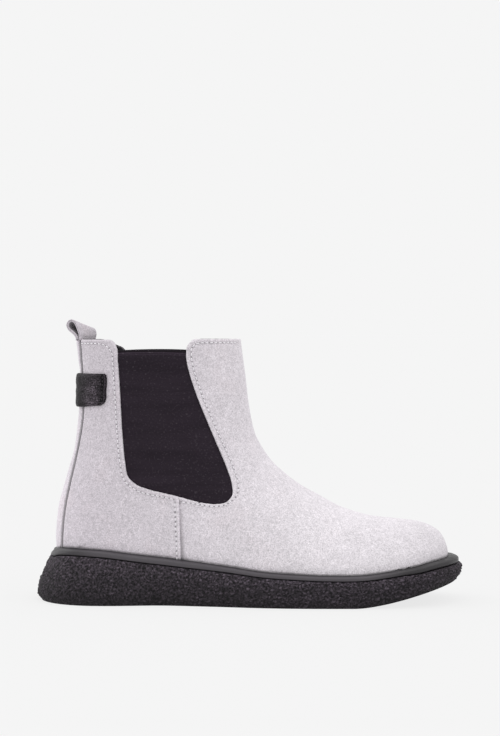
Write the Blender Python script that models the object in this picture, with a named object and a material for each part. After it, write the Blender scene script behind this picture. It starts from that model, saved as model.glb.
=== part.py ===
"""A women's chelsea boot, right foot, as separate shells, elastic gores and sole parts.

The frame: +X to the toe, +Y to the inner (medial) side, +Z up.  X = 0 is the middle of the sole and
Z = 0 the ground.  Sizes below are in millimetres, and meshes are made in metres.

The upper is one smooth surface.  Its side view is drawn by a ridge line (shaft front, instep, toe) and a
back line; its width at each place of the side view is half_width().  Suede, reinforcements and lining are
shells at their own depths under that surface, cut to their panels by prisms of the side-view outlines.
"""

import bmesh
import bpy
import numpy as np

MM = 0.001

# ---------------------------------------------------------------- driving dimensions

GAP = 0.3                       # between pieces that touch
EDGE_GAP = 0.5                  # between pieces whose facets don't match
SUEDE = (0.0, -1.4)             # shells: outer and inner depth under the upper's surface
CORE = (-1.7, -3.0)             # gores, heel counter, toe puff, loop root
LINING = (-3.3, -4.1)
TAB = (1.7, 0.3)

TOE_TIP = 132.3
HEEL_BACK = -131.0
RAND_HEIGHT = 5.0
SHAFT_HALF_WIDTH = 29.3
TOE_RADIUS = 42.0
CENTRE_SWING = 6.0              # how far the toe's centre lies to the inner side
SIDE_TUCK = 0.05                # how much narrower the upper is at the feather line
TUCK_HEIGHT = 14.0

HINGE_Z = 98.0                  # where the back of the shaft starts to open
HINGE_SLOT = 0.2                # half the slot between the fixed and the moving panels
GORE_TOP = 167.8
OPEN_TOP = 185.0                # above the boot, where a cutter of the open window ends
GORE_MARGIN = 6.0               # how far a gore reaches under the suede
LINING_MARGIN = 4.0             # how far the lining reaches past the window's edge
SEAM_X = (-45.5, -43.6)         # side seam, at the gore and at the sole
WINDOW_SEAM_Z = 71.1

TREAD_FLAT_END = 70.0
TOE_SPRING = 0.27               # slope of the tread under the toe
SPRING_EASE = 14.0              # length over which that slope comes in
BOARD = 2.0
FOOTBED = 3.0
SOCK = 1.2
INSOLE_INSET = 5.2              # insole board, from the upper's outline
TOE_INSET = 2.2                 # more at the toe and at the heel, where the upper curves in
HEEL_INSET = 1.2
WEDGE_DEPTH = 15.0
FILLER_DEPTH = 3.0
SHANK_HALF_WIDTH = 7.0
SHANK = 1.2

LOOP_PIVOT = (-111.5, 2.0, 176.1)
LOOP_AXIS = (0.28, 0.96)        # the loop's neck, seen from above
LOOP_HALF_WIDTH = 12.5
LOOP_THICKNESS = 1.5

# ---------------------------------------------------------------- outlines of the side view (X, Z)

# Straight rows across the side view run from a ridge point to the back line, then to the feather line.
RIDGE = ((-6.9, 175.2), (-3.8, 152.0), (-0.8, 129.0), (3.0, 111.5), (9.5, 99.5), (15.5, 91.5),
         (20.0, 87.3), (27.0, 81.5), (35.0, 76.0), (46.0, 70.0), (60.0, 62.5), (78.0, 56.8),
         (97.0, 54.4), (114.0, 52.2), (126.0, 46.3), (131.5, 36.0), (TOE_TIP, 25.8))
BACK_ROWS = (174.4, 150.0, 127.0, 105.0, 80.0, 52.0, 32.0)
FEATHER_ROWS = (-130.9, -98.0, -55.0, -10.0, 32.0, 58.0, 72.0, 80.0, 85.0, 88.0, 90.0)
ROW_STEPS = (3, 2, 2, 2, 1, 1, 6, 4, 4, 3, 3, 2, 2, 2, 1, 1)
COLUMNS = 8
INWARD = 0.4                    # how far inside an edge its normal is read

BACK = ((30, -130.7), (43.8, -131.5), (53.9, -130.8), (64, -129.5), (74.1, -126.8), (88.2, -122.8),
        (100.3, -119.4), (113.7, -117.4), (126.5, -116.0), (152.7, -115.4), (175.4, -117.6))
RAND_TOP = ((-131, 37), (-98, 36), (-74, 33.2), (-42, 29.8), (-10, 26), (6, 23.8), (30, 22.2),
            (55, 21.2), (79, 21.7), (95, 23.9), (111, 26.7), (122, 29.0), (135, 30.8))
LOW_LATERAL = ((-131, 29.5), (-100, 30), (-60, 29), (-20, 34), (20, 41), (45, 42.5), (75, 42),
               (100, 40), (132, 38))
LOW_MEDIAL = ((-131, 29.5), (-100, 29.5), (-60, 27), (-20, 30), (20, 38), (58, 41.5), (75, 41.5),
              (100, 40), (132, 38))

WINDOW_BACK = ((-94.0, 175.1), (-89.8, 173.5), (-87.4, 169.6), (-86.6, 160.0), (-85.0, 138.0),
               (-83.2, 110.0), (-81.2, 93.0), (-79.0, 83.5), (-74.0, 79.0), (-64.7, 75.4),
               (-55.0, 73.2), (SEAM_X[0], WINDOW_SEAM_Z))
WINDOW_FRONT = ((SEAM_X[0], WINDOW_SEAM_Z), (-35.0, 68.4), (-28.0, 67.1), (-21.0, 66.7),
                (-14.6, 67.9), (-10.4, 72.0), (-10.5, 80.5), (-14.3, 91.4), (-21.0, 107.0),
                (-27.8, 123.0), (-34.2, 139.0), (-39.0, 154.0), (-40.8, 164.0), (-39.8, 171.0),
                (-35.4, 175.2))
BACKSTAY = ((-114.6, 180.0), (-112.9, 152.0), (-111.9, 125.0), (-116.6, 97.0), (-122.6, 67.0),
            (-125.3, 37.0), (-125.3, 20.0))
HEEL_TAB = (((-125.0, 129.3), (-100.0, 130.7)), ((-100.0, 130.7), (-96.0, 132.0), (-94.4, 135.5)),
            ((-94.4, 135.5), (-93.9, 148.5)), ((-93.9, 148.5), (-94.3, 151.2), (-96.5, 151.9)),
            ((-96.5, 151.9), (-125.0, 151.9)))
COUNTER = (((-140.0, 10.0), (-69.0, 10.0)), ((-69.0, 10.0), (-70.0, 34.0), (-77.0, 48.0),
           (-87.0, 61.0), (-98.0, 75.0), (-109.0, 80.0), (-140.0, 80.0)))
PUFF = (((140.0, 10.0), (140.0, 60.0)), ((97.0, 60.0), (90.0, 42.0), (86.0, 10.0)))
LOOP_ROOT = (((-125.0, 159.0), (-111.4, 159.0)), ((-111.4, 176.0), (-125.0, 176.0)))

# Teardrop of the pull loop about its pivot: (across the neck, up), outer edge.
LOOP_NEAR = ((-1.6, 0.2), (-2.6, 1.8), (-4.6, 3.6), (-7.4, 5.9), (-8.6, 8.8), (-7.6, 11.5),
             (-4.8, 12.9), (-2.3, 11.9), (-0.4, 9.3), (1.2, 5.8), (2.3, 2.4), (2.2, 0.2))
LOOP_FAR = ((-1.6, 0.2), (-2.3, 1.6), (-3.3, 3.3), (-3.9, 4.9), (-3.4, 6.3), (-2.0, 7.1),
            (-0.2, 7.3), (1.3, 6.6), (2.3, 5.3), (2.6, 3.8), (2.6, 1.8), (2.2, 0.2))

# Sole wall: share of the height from tread to top, and how far it stands out of the upper.
SOLE_LEVELS = (0.0, 0.1, 0.32, 0.52, 0.75, 1.0)
SOLE_OUT = {"heel": (10.4, 12.8, 13.0, 11.3, 8.3, 5.2),
            "ball": (6.0, 7.2, 7.6, 7.5, 6.7, 5.6),
            "toe": (5.4, 6.9, 8.7, 9.3, 9.5, 8.8)}
RAND_OUT = {"heel": 4.2, "ball": 5.0, "toe": 7.0}
SOLE_POINTS = 72


# ---------------------------------------------------------------- curves

def smooth(x, start, end):
    """0 before start, 1 after end, and a smooth step between."""
    t = np.clip((x - start) / (end - start), 0.0, 1.0)
    return t * t * (3.0 - 2.0 * t)


def through(points):
    """A smooth function y(x) through points given in the order of x."""
    x, y = np.array(points, float).T
    slope = np.gradient(y, x)

    def value(at):
        at = np.clip(at, x[0], x[-1])
        i = np.clip(np.searchsorted(x, at) - 1, 0, len(x) - 2)
        step = x[i + 1] - x[i]
        t = (at - x[i]) / step
        start = (1 + 2 * t) * (1 - t) ** 2 * y[i] + t * (1 - t) ** 2 * step * slope[i]
        return start + t * t * (3 - 2 * t) * y[i + 1] + t * t * (t - 1) * step * slope[i + 1]

    return value


def stroke(points, spacing=4.0):
    """A smooth line through points, sampled evenly; two points give a straight line."""
    points = np.array(points, float)
    length = np.concatenate([[0.0], np.cumsum(np.linalg.norm(np.diff(points, axis=0), axis=1))])
    count = max(2, int(np.ceil(length[-1] / spacing)) + 1) if len(points) > 2 else 2
    at = np.linspace(0.0, length[-1], count)
    columns = [through(np.column_stack([length, column]))(at) for column in points.T]
    return np.column_stack(columns)


def outline(*strokes):
    """Strokes joined end to end, each smooth in itself."""
    joined = np.vstack([stroke(points) for points in strokes])
    keep = np.linalg.norm(joined - np.roll(joined, 1, axis=0), axis=1) > 0.05
    return joined[keep]


def widened(line, amount):
    """The open line moved to its right-hand side by amount, a number or one for each point."""
    along = np.gradient(line, axis=0)
    along /= np.linalg.norm(along, axis=1)[:, None]
    right = np.column_stack([along[:, 1], -along[:, 0]])
    return line + right * np.reshape(amount, (-1, 1))


def clipped(line, height, above):
    """The closed outline's part above or below a height."""
    kept = []
    for a, b in zip(line, np.roll(line, -1, axis=0)):
        if (a[1] > height) == above:
            kept.append(a)
        if (a[1] > height) != (b[1] > height):
            kept.append(a + (b - a) * (height - a[1]) / (b[1] - a[1]))
    return np.array(kept)


# ---------------------------------------------------------------- the upper's surface

back_x = through(BACK)
rand_top = through(RAND_TOP)
low_lateral = through(LOW_LATERAL)
low_medial = through(LOW_MEDIAL)
ridge_x = through([(i, point[0]) for i, point in enumerate(RIDGE)])
ridge_z = through([(i, point[1]) for i, point in enumerate(RIDGE)])
row_back_z = through(list(enumerate(BACK_ROWS)))
row_feather_x = through([(i + len(BACK_ROWS) - 1, x) for i, x in enumerate(FEATHER_ROWS)])
_row = np.linspace(0.0, len(RIDGE) - 1, 161)
RIDGE_LINE = np.vstack([[(-10.3, 200.0)], np.column_stack([ridge_x(_row), ridge_z(_row)])])


def sole_top(x):
    """Height of the outsole's top face, on which the upper stands."""
    return rand_top(x) - RAND_HEIGHT - GAP


def tread(x):
    """Height of the tread: flat, then rising under the toe."""
    ahead = np.maximum(x - TREAD_FLAT_END, 0.0)
    return TOE_SPRING * (ahead - SPRING_EASE * (1.0 - np.exp(-ahead / SPRING_EASE)))


def cap(u):
    """A quarter circle: 0 at u = 0 with an upright tangent, 1 from u = 1 on."""
    return np.sqrt(1.0 - (1.0 - np.clip(u, 0.0, 1.0)) ** 2)


def ridge_distance(x, z):
    """Distance in the side view from a point to the ridge line."""
    start, end = RIDGE_LINE[:-1], RIDGE_LINE[1:]
    along = end - start
    point = np.stack(np.broadcast_arrays(x, z), -1)[..., None, :]
    t = np.clip(((point - start) * along).sum(-1) / (along ** 2).sum(-1), 0.0, 1.0)
    return np.linalg.norm(point - (start + t[..., None] * along), axis=-1).min(-1)


def half_width(x, z, side):
    """Half the upper's width at a place of its side view; side is -1 lateral, 1 medial."""
    low = low_lateral(x) if side < 0 else low_medial(x)
    shaft = smooth(z, 55.0, 112.0)
    width = low * (1.0 - shaft) + SHAFT_HALF_WIDTH * shaft
    top = np.interp(x, RIDGE_LINE[:, 0], RIDGE_LINE[:, 1])
    foot = sole_top(x)
    toe = smooth(x, 60.0, 95.0)
    reach = 42.0 + 8.0 * smooth(z, 90.0, 150.0)
    depth = (1.0 - toe) * ridge_distance(x, z) / reach
    depth = depth + toe * np.clip((top - z) / np.maximum(top - foot, 1.0), 0.0, 1.0)
    back = (x - back_x(z)) / (30.0 + 13.0 * smooth(z, 45.0, 110.0))
    tuck = 1.0 - SIDE_TUCK * (1.0 - np.clip((z - foot) / TUCK_HEIGHT, 0.0, 1.0)) ** 2
    return width * cap(depth) * cap((TOE_TIP - x) / TOE_RADIUS) * cap(back) * tuck


def centre(x):
    """Y of the upper's middle line, which swings to the inner side towards the toe."""
    return CENTRE_SWING * smooth(x, -40.0, TOE_TIP)


def row_positions():
    """The rows' places along the stations, closer together just past the heel's corner."""
    corner = len(BACK_ROWS) - 1
    places = [0.0]
    for station, steps in enumerate(ROW_STEPS):
        t = np.arange(1, steps + 1) / steps
        if station == corner:
            t = 1.0 - np.cos(t * np.pi / 2.0)
        places.extend(station + t)
    return np.array(places)


def surface_normal(x, z, side, width):
    """Outward normal: the slope of (y - centre)^2 - half_width^2, which has no infinite tangents."""
    step = 0.1
    across, up = np.array([step, 0.0]), np.array([0.0, step])

    def slope(move):
        ahead = half_width(x + move[0], z + move[1], side)
        behind = half_width(x - move[0], z - move[1], side)
        return (ahead ** 2 - behind ** 2) / (2.0 * step)

    swing = (centre(x + step) - centre(x - step)) / (2.0 * step)
    normal = np.array([-slope(across) - 2.0 * side * width * swing, 2.0 * side * width, -slope(up)])
    return normal / np.linalg.norm(normal)


def surface():
    """Points, normals and faces of the upper's surface: an open tube with a welded back line."""
    corner = len(BACK_ROWS) - 1
    t = np.linspace(0.0, 1.0, COLUMNS + 1)
    index, points, normals, rows = {}, [], [], row_positions()
    for r, row in enumerate(rows):
        on_back = row <= corner
        ridge = np.array([ridge_x(row), ridge_z(row)])
        end_x = back_x(row_back_z(row)) if on_back else row_feather_x(row)
        end = np.array([end_x, row_back_z(row) if on_back else sole_top(end_x) + GAP])
        to_back = 1.0 - smooth(row, corner, corner + 2.0)
        share = to_back * (1 - np.cos(np.pi * t)) / 2 + (1 - to_back) * (1 - np.cos(np.pi * t / 2))
        line = ridge + share[:, None] * (end - ridge)
        inward = (end - ridge) / np.linalg.norm(end - ridge) * INWARD
        for c in range(COLUMNS + 1):
            on_ridge, on_seam = c == 0, on_back and c == COLUMNS
            read = line[c] + inward * (float(on_ridge) - float(on_seam))
            for side in (-1, 1):
                if (on_ridge or on_seam) and side > 0:
                    index[(r, c, side)] = index[(r, c, -1)]
                    continue
                width = 0.0 if on_ridge or on_seam else float(half_width(*line[c], side))
                index[(r, c, side)] = len(points)
                points.append((line[c, 0], centre(line[c, 0]) + side * width, line[c, 1]))
                normals.append(surface_normal(*read, side, width))
    faces = []
    for r in range(len(rows) - 1):
        for c in range(COLUMNS):
            for side in (-1, 1):
                corners = ((r, c), (r, c + 1), (r + 1, c + 1), (r + 1, c))
                face = [index[(a, b, side)] for a, b in corners]
                for triangle in (face[:3], [face[0], *face[2:]]):
                    if len(set(triangle)) == 3:
                        faces.append(triangle if side > 0 else triangle[::-1])
    return np.array(points), np.array(normals), faces


# ---------------------------------------------------------------- Blender objects

def clear_scene():
    for obj in list(bpy.data.objects):
        bpy.data.objects.remove(obj, do_unlink=True)


def material(name, colour, roughness, metallic=0.0):
    made = bpy.data.materials.new(name)
    made.use_nodes = True
    shader = made.node_tree.nodes["Principled BSDF"]
    shader.inputs["Base Color"].default_value = (*colour, 1.0)
    shader.inputs["Roughness"].default_value = roughness
    shader.inputs["Metallic"].default_value = metallic
    made.diffuse_color = (*colour, 1.0)
    return made


def solid(name, points, faces, finish=None, flat_z=None):
    """One object from points in millimetres; faces are turned outward."""
    bm = bmesh.new()
    verts = [bm.verts.new(np.array(point, float) * MM) for point in points]
    for face in faces:
        bm.faces.new([verts[i] for i in face])
    bmesh.ops.recalc_face_normals(bm, faces=bm.faces)
    if flat_z is not None:
        flat = [v for v in bm.verts if abs(v.co.z - flat_z * MM) < 1e-7]
        inner = [e for e in bm.edges if e.verts[0] in flat and e.verts[1] in flat]
        bmesh.ops.dissolve_limit(bm, angle_limit=0.001, verts=flat, edges=inner)
    mesh = bpy.data.meshes.new(name)
    bm.to_mesh(mesh)
    bm.free()
    obj = bpy.data.objects.new(name, mesh)
    bpy.context.scene.collection.objects.link(obj)
    if finish:
        mesh.materials.append(finish)
    return obj


def prism(name, line, y_from=-90.0, y_to=90.0):
    """A cutter: a side-view outline drawn out across the boot."""
    count = len(line)
    points = [(x, y, z) for y in (y_from, y_to) for x, z in line]
    faces = [list(range(count)), list(range(count, 2 * count))]
    for i in range(count):
        j = (i + 1) % count
        faces.append([i, j, j + count, i + count])
    cutter = solid("cutter_" + name, points, faces)
    cutter.hide_render = True
    cutter.display_type = "WIRE"
    return cutter


def boolean(obj, cutter, operation):
    modifier = obj.modifiers.new(cutter.name, "BOOLEAN")
    modifier.object = cutter
    modifier.operation = operation
    modifier.solver = "EXACT"


def shell(name, depths, finish, keep=None, drop=None):
    """A shell between two depths under the upper's surface, cut by prisms."""
    points, normals, faces = UPPER
    count = len(points)
    both = np.vstack([points + normals * depths[0], points + normals * depths[1]])
    used = {}
    for face in faces:
        for a, b in zip(face, face[1:] + face[:1]):
            key = (min(a, b), max(a, b))
            used[key] = used.get(key, 0) + 1
    all_faces = [*faces, *[[i + count for i in face] for face in faces]]
    all_faces += [[a, b, b + count, a + count] for (a, b), times in used.items() if times == 1]
    obj = solid(name, both, all_faces, finish)
    if keep:
        boolean(obj, keep, "INTERSECT")
    for cutter in drop or ():
        boolean(obj, cutter, "DIFFERENCE")
    return obj


def place_origin(obj, point):
    """Move the object's origin to a point in millimetres and leave its mesh in place."""
    offset = np.array(point) * MM
    for vert in obj.data.vertices:
        vert.co = [vert.co[i] - offset[i] for i in range(3)]
    obj.location = offset


# ---------------------------------------------------------------- sole parts

def plan_loop(rise):
    """The upper's outline at a height above the sole's top: X, Y and outward normals."""
    angle = np.arange(SOLE_POINTS) * 2.0 * np.pi / SOLE_POINTS
    back = back_x(sole_top(HEEL_BACK) + rise)
    tip_row = np.linspace(len(RIDGE) - 2, len(RIDGE) - 1, 41)
    tip = np.interp(sole_top(TOE_TIP) + rise, ridge_z(tip_row)[::-1], ridge_x(tip_row)[::-1])
    x = (back + tip) / 2.0 - (tip - back) / 2.0 * np.cos(angle)
    side = np.where(angle <= np.pi, -1, 1)
    z = sole_top(x) + rise
    width = np.where(side < 0, half_width(x, z, -1), half_width(x, z, 1))
    width[[0, SOLE_POINTS // 2]] = 0.0
    loop = np.column_stack([x, centre(x) + side * width])
    along = np.roll(loop, -1, axis=0) - np.roll(loop, 1, axis=0)
    along /= np.linalg.norm(along, axis=1)[:, None]
    return loop, np.column_stack([along[:, 1], -along[:, 0]])


def by_place(x, values):
    """A value that is given at the heel, the ball and the toe."""
    heel = 1.0 - smooth(x, -95.0, -45.0)
    toe = smooth(x, 78.0, 128.0)
    return heel * values["heel"] + toe * values["toe"] + (1.0 - heel - toe) * values["ball"]


def ring(rise, out, height):
    """One loop round the sole: the upper's outline moved out, at a height read from X."""
    loop, normal = plan_loop(rise)
    out = out(loop[:, 0]) if callable(out) else out
    loop = loop + normal * np.reshape(out, (-1, 1))
    return np.column_stack([loop, height(loop[:, 0])])


def rungs(count, first):
    """Faces across a loop, from each point to the one opposite it."""
    half = count // 2
    faces = [[first, first + 1, first + count - 1]]
    for i in range(1, half - 1):
        faces.append([first + i, first + i + 1, first + count - i - 1, first + count - i])
    return faces + [[first + half - 1, first + half, first + half + 1]]


def stacked(name, rings, finish, **options):
    """A closed solid through a stack of loops, capped at both ends."""
    count = len(rings[0])
    faces = rungs(count, 0) + rungs(count, count * (len(rings) - 1))
    for level in range(len(rings) - 1):
        for i in range(count):
            j = (i + 1) % count
            low, high = level * count, (level + 1) * count
            faces.append([low + i, low + j, high + j, high + i])
    return solid(name, np.vstack(rings), faces, finish, **options)


def tray(name, start, end, half, low, high, finish=None, steps=12):
    """A bar lying along X: half(x, side) is its reach to each side, low and high its heights."""
    along = start + (end - start) * (1.0 - np.cos(np.linspace(0.0, np.pi, steps))) / 2.0
    points, faces = [], []
    for x in along:
        left, right = centre(x) - half(x, -1), centre(x) + half(x, 1)
        points += [(x, left, low(x)), (x, right, low(x)), (x, right, high(x)), (x, left, high(x))]
    for i in range(steps - 1):
        a, b = 4 * i, 4 * i + 4
        for c in range(4):
            d = (c + 1) % 4
            faces.append([a + c, a + d, b + d, b + c])
    faces += [[0, 1, 2, 3], [len(points) - 4 + c for c in range(4)]]
    return solid(name, points, faces, finish)


def inside(inset):
    """Half width of a piece that lies inset from the upper's outline."""
    return lambda x, side: half_width(x, sole_top(x), side) - inset


def under_board(depth):
    return lambda x: sole_top(x) - depth


def make_sole(finish):
    """Outsole with its hollow, rand, wedge, shank, filler, board, footbed and sock."""
    levels = []
    for i, share in enumerate(SOLE_LEVELS):
        def height(x, share=share):
            return tread(x) + share * (sole_top(x) - tread(x))
        place = {where: values[i] for where, values in SOLE_OUT.items()}
        levels.append(ring(0.0, lambda x, place=place: by_place(x, place), height))
    outsole = stacked("outsole", levels, finish["crepe"], flat_z=0.0)
    heel_hollow = tray("cutter_heel_hollow", -122.0, -2.0, inside(10.0), under_board(WEDGE_DEPTH),
                       under_board(-2.0))
    ball_hollow = tray("cutter_ball_hollow", -3.0, 112.0, inside(10.0), under_board(FILLER_DEPTH),
                       under_board(-2.0))
    for cutter in (heel_hollow, ball_hollow):
        cutter.hide_render = True
        cutter.display_type = "WIRE"
        boolean(outsole, cutter, "DIFFERENCE")
    tray("heel_wedge", -121.5, -2.5, inside(10.5), under_board(WEDGE_DEPTH - GAP),
         under_board(SHANK + 2 * GAP), finish["foam"])
    tray("shank", -104.0, -6.0, lambda x, side: SHANK_HALF_WIDTH, under_board(SHANK + GAP),
         under_board(GAP), finish["steel"], steps=9)
    tray("bottom_filler", -1.5, 111.0, inside(10.5), under_board(FILLER_DEPTH - GAP),
         under_board(GAP), finish["cork"])
    rise = GAP
    for name, thickness, look, inset in (("insole_board", BOARD, "board", INSOLE_INSET),
                                         ("footbed_foam", FOOTBED, "foam", INSOLE_INSET + 0.4),
                                         ("sock_liner", SOCK, "black_textile", INSOLE_INSET + 0.8)):
        def out(x, inset=inset):
            return -inset - TOE_INSET * smooth(x, 100.0, 130.0) - HEEL_INSET * smooth(-x, 105.0, 128.0)
        low, high = rise, rise + thickness
        stacked(name, [ring(0.0, out, lambda x, rise=low: sole_top(x) + rise),
                       ring(0.0, out, lambda x, rise=high: sole_top(x) + rise)], finish[look])
        rise = high + GAP
    make_rand(finish["rand"])


def make_rand(finish):
    """The band round the upper's foot, with a sloped top."""
    def outer(x):
        return by_place(x, RAND_OUT)
    section = ((0.0, lambda x: EDGE_GAP, 0.0), (0.0, outer, 0.0), (0.0, outer, 3.4),
               (0.0, lambda x: outer(x) - 1.1, 4.6), (RAND_HEIGHT, lambda x: EDGE_GAP, 5.0))
    rings = [ring(rise, out, lambda x, z=z: sole_top(x) + GAP + z * (RAND_HEIGHT - GAP) / RAND_HEIGHT)
             for rise, out, z in section]
    count, faces = SOLE_POINTS, []
    for level in range(len(rings)):
        above = (level + 1) % len(rings)
        for i in range(count):
            j = (i + 1) % count
            faces.append([level * count + i, level * count + j, above * count + j, above * count + i])
    solid("rand", np.vstack(rings), faces, finish)


# ---------------------------------------------------------------- upper

def window_lines():
    """Rear and front part of the gore window, as drawn on both sides of the boot."""
    return stroke(WINDOW_BACK), stroke(WINDOW_FRONT)


def window(amount, top=None):
    """The whole window moved outward by amount and closed at a height or well above the boot."""
    rear, front = window_lines()
    line = widened(np.vstack([rear, front[1:]]), amount)
    ends = np.array([(line[-1, 0], OPEN_TOP), (line[0, 0], OPEN_TOP)])
    closed = np.vstack([line, ends])
    return closed if top is None else clipped(closed, top, above=False)


def quarter_outline():
    """Quarter: from the backstay to the window and the side seam."""
    rear, _front = window_lines()
    back_edge = stroke(BACKSTAY)[::-1] + np.array([GAP, 0.0])
    seam = np.array([(SEAM_X[1], 10.0)])
    return np.vstack([back_edge, [(rear[0, 0], 180.0)], rear, seam])


def vamp_outline():
    """Vamp: all that lies ahead of the side seam and of the window."""
    _rear, front = window_lines()
    front = front + np.array([GAP, 0.0])
    far = np.array([(front[-1, 0], 190.0), (150.0, 190.0), (150.0, 5.0), (SEAM_X[1] + GAP, 5.0)])
    return np.vstack([front, far])


def backstay_outline():
    line = stroke(BACKSTAY)
    return np.vstack([line, [(-150.0, 20.0), (-150.0, 180.0)]])


def make_quarters(finish):
    """The two quarters and the backstay, each as a fixed lower and a moving upper panel."""
    for part, above in (("", False), ("_top", True)):
        height = HINGE_Z + (HINGE_SLOT if above else -HINGE_SLOT)
        line = clipped(quarter_outline(), height, above)
        for side, span in (("lateral", (-90.0, 0.0)), ("medial", (0.0, 90.0))):
            cutter = prism("quarter_" + side + part, line, *span)
            shell("quarter_" + side + part, SUEDE, finish["suede"], cutter)
        cutter = prism("backstay" + part, clipped(backstay_outline(), height, above))
        shell("backstay" + part, SUEDE, finish["suede"], cutter)


def make_linings(finish):
    """Textile lining: vamp half, quarter half below the hinge, quarter half above it."""
    rear, front = window_lines()
    line = np.vstack([rear, front[1:]])
    margin = -LINING_MARGIN * (1.0 - smooth(line[:, 1], 158.0, 169.0))
    opening = prism("lining_window", window(margin))
    middle = SEAM_X[0] - 4.0
    box = {"vamp_lining": [(middle + GAP, 5.0), (150.0, 5.0), (150.0, 190.0), (middle + GAP, 190.0)]}
    for part, low, high in (("", 5.0, HINGE_Z - HINGE_SLOT), ("_top", HINGE_Z + HINGE_SLOT, 190.0)):
        box["quarter_lining" + part] = [(-150.0, low), (middle, low), (middle, high), (-150.0, high)]
    for name, line in box.items():
        shell(name, LINING, finish["black_textile"], prism(name, np.array(line)), [opening])


def make_reinforcements(finish):
    """Gores, heel counter, toe puff and the sewn-in root of the pull loop."""
    gore = window(GORE_MARGIN, GORE_TOP)
    for side, span in (("lateral", (-90.0, 0.0)), ("medial", (0.0, 90.0))):
        shell("gore_" + side, CORE, finish["elastic"], prism("gore_" + side, gore, *span))
    shell("heel_counter", CORE, finish["board"], prism("heel_counter", outline(*COUNTER)))
    shell("toe_puff", CORE, finish["board"], prism("toe_puff", outline(*PUFF)))
    shell("pull_loop_root", CORE, finish["suede"], prism("pull_loop_root", outline(*LOOP_ROOT)))


def make_heel_tab(finish):
    shell("heel_tab", TAB, finish["grained_leather"], prism("heel_tab", outline(*HEEL_TAB)))


def inner_edge(line):
    """The loop's inner edge, one thickness inside its outer edge."""
    along = np.roll(line, -1, axis=0) - np.roll(line, 1, axis=0)
    along /= np.linalg.norm(along, axis=1)[:, None]
    return line + np.column_stack([-along[:, 1], along[:, 0]]) * -LOOP_THICKNESS


def make_pull_loop(finish):
    """A band folded over and sewn at its neck; its inner end leans to the front."""
    along = np.array(LOOP_AXIS)
    across = np.array([along[1], -along[0]])
    rings = []
    for share in (0.0, 0.5, 1.0):
        edge = np.array(LOOP_NEAR) * (1.0 - share) + np.array(LOOP_FAR) * share
        edge = stroke(edge, 2.2 - 0.9 * share)
        rings.append(edge)
    count = min(len(edge) for edge in rings)
    points = []
    for share, edge in zip((0.0, 0.5, 1.0), rings):
        at = np.linspace(0.0, len(edge) - 1.0, count)
        outer = np.column_stack([np.interp(at, np.arange(len(edge)), edge[:, k]) for k in (0, 1)])
        hole = inner_edge(outer)[2:-2]
        place = np.array(LOOP_PIVOT[:2]) + along * LOOP_HALF_WIDTH * (2.0 * share - 1.0)
        foot = [(0.9, -0.9), (0.0, -1.3), (-0.9, -0.9)]
        for u, v in [*outer, *foot, *hole]:
            points.append((*(place + across * u), LOOP_PIVOT[2] + v))
    total, rim = len(points) // 3, count + 3
    faces = []
    for level in range(2):
        low, high = level * total, (level + 1) * total
        for first, size in ((0, rim), (rim, total - rim)):
            for i in range(size):
                a, b = first + i, first + (i + 1) % size
                faces.append([low + a, low + b, high + b, high + a])
    for base in (0, 2 * total):
        faces += loop_side(base, count, rim, total)
    obj = solid("pull_loop", points, faces, finish["suede"])
    place_origin(obj, LOOP_PIVOT)


def loop_side(base, count, rim, total):
    """One end face of the loop: a band between its outer edge and its hole."""
    hole = [base + i for i in range(rim, total)]
    outer = [base + i for i in range(2, count - 2)]
    faces = [[outer[i], outer[i + 1], hole[i + 1], hole[i]] for i in range(len(hole) - 1)]
    neck = [base + i for i in range(count - 3, rim)] + [base, base + 1, base + 2]
    return faces + [[*neck, hole[0], hole[-1]]]


def make_vamp(finish):
    shell("vamp", SUEDE, finish["suede"], prism("vamp", vamp_outline()))


def main():
    clear_scene()
    finish = {
        "suede": material("grey_suede", (0.62, 0.58, 0.60), 0.95),
        "elastic": material("black_elastic", (0.02, 0.018, 0.02), 0.85),
        "grained_leather": material("black_grained_leather", (0.03, 0.028, 0.03), 0.45),
        "black_textile": material("black_textile", (0.02, 0.02, 0.022), 0.9),
        "rand": material("dark_rand_rubber", (0.10, 0.09, 0.10), 0.5),
        "crepe": material("black_crepe_rubber", (0.045, 0.04, 0.042), 0.8),
        "foam": material("eva_foam", (0.16, 0.16, 0.17), 0.9),
        "cork": material("cork_filler", (0.45, 0.30, 0.17), 0.95),
        "board": material("fibre_board", (0.55, 0.47, 0.36), 0.9),
        "steel": material("spring_steel", (0.45, 0.46, 0.48), 0.35, 1.0),
    }
    make_sole(finish)
    make_vamp(finish)
    make_quarters(finish)
    make_linings(finish)
    make_reinforcements(finish)
    make_heel_tab(finish)
    make_pull_loop(finish)


UPPER = surface()
main()
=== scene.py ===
"""The looks of a grey suede chelsea boot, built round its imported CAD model.

The suede, elastic, lining and reinforcements are fine meshes on the same smooth surface as the CAD shells:
its side view is drawn by a ridge line and a back line, and half_width() gives its width at each place.
Outlines and depths repeat the part's driving dimensions.  Sizes are in millimetres until a mesh is made.
"""

import itertools
import math

import bmesh
import bpy
import numpy as np
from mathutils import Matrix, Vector
from mathutils.kdtree import KDTree


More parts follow.
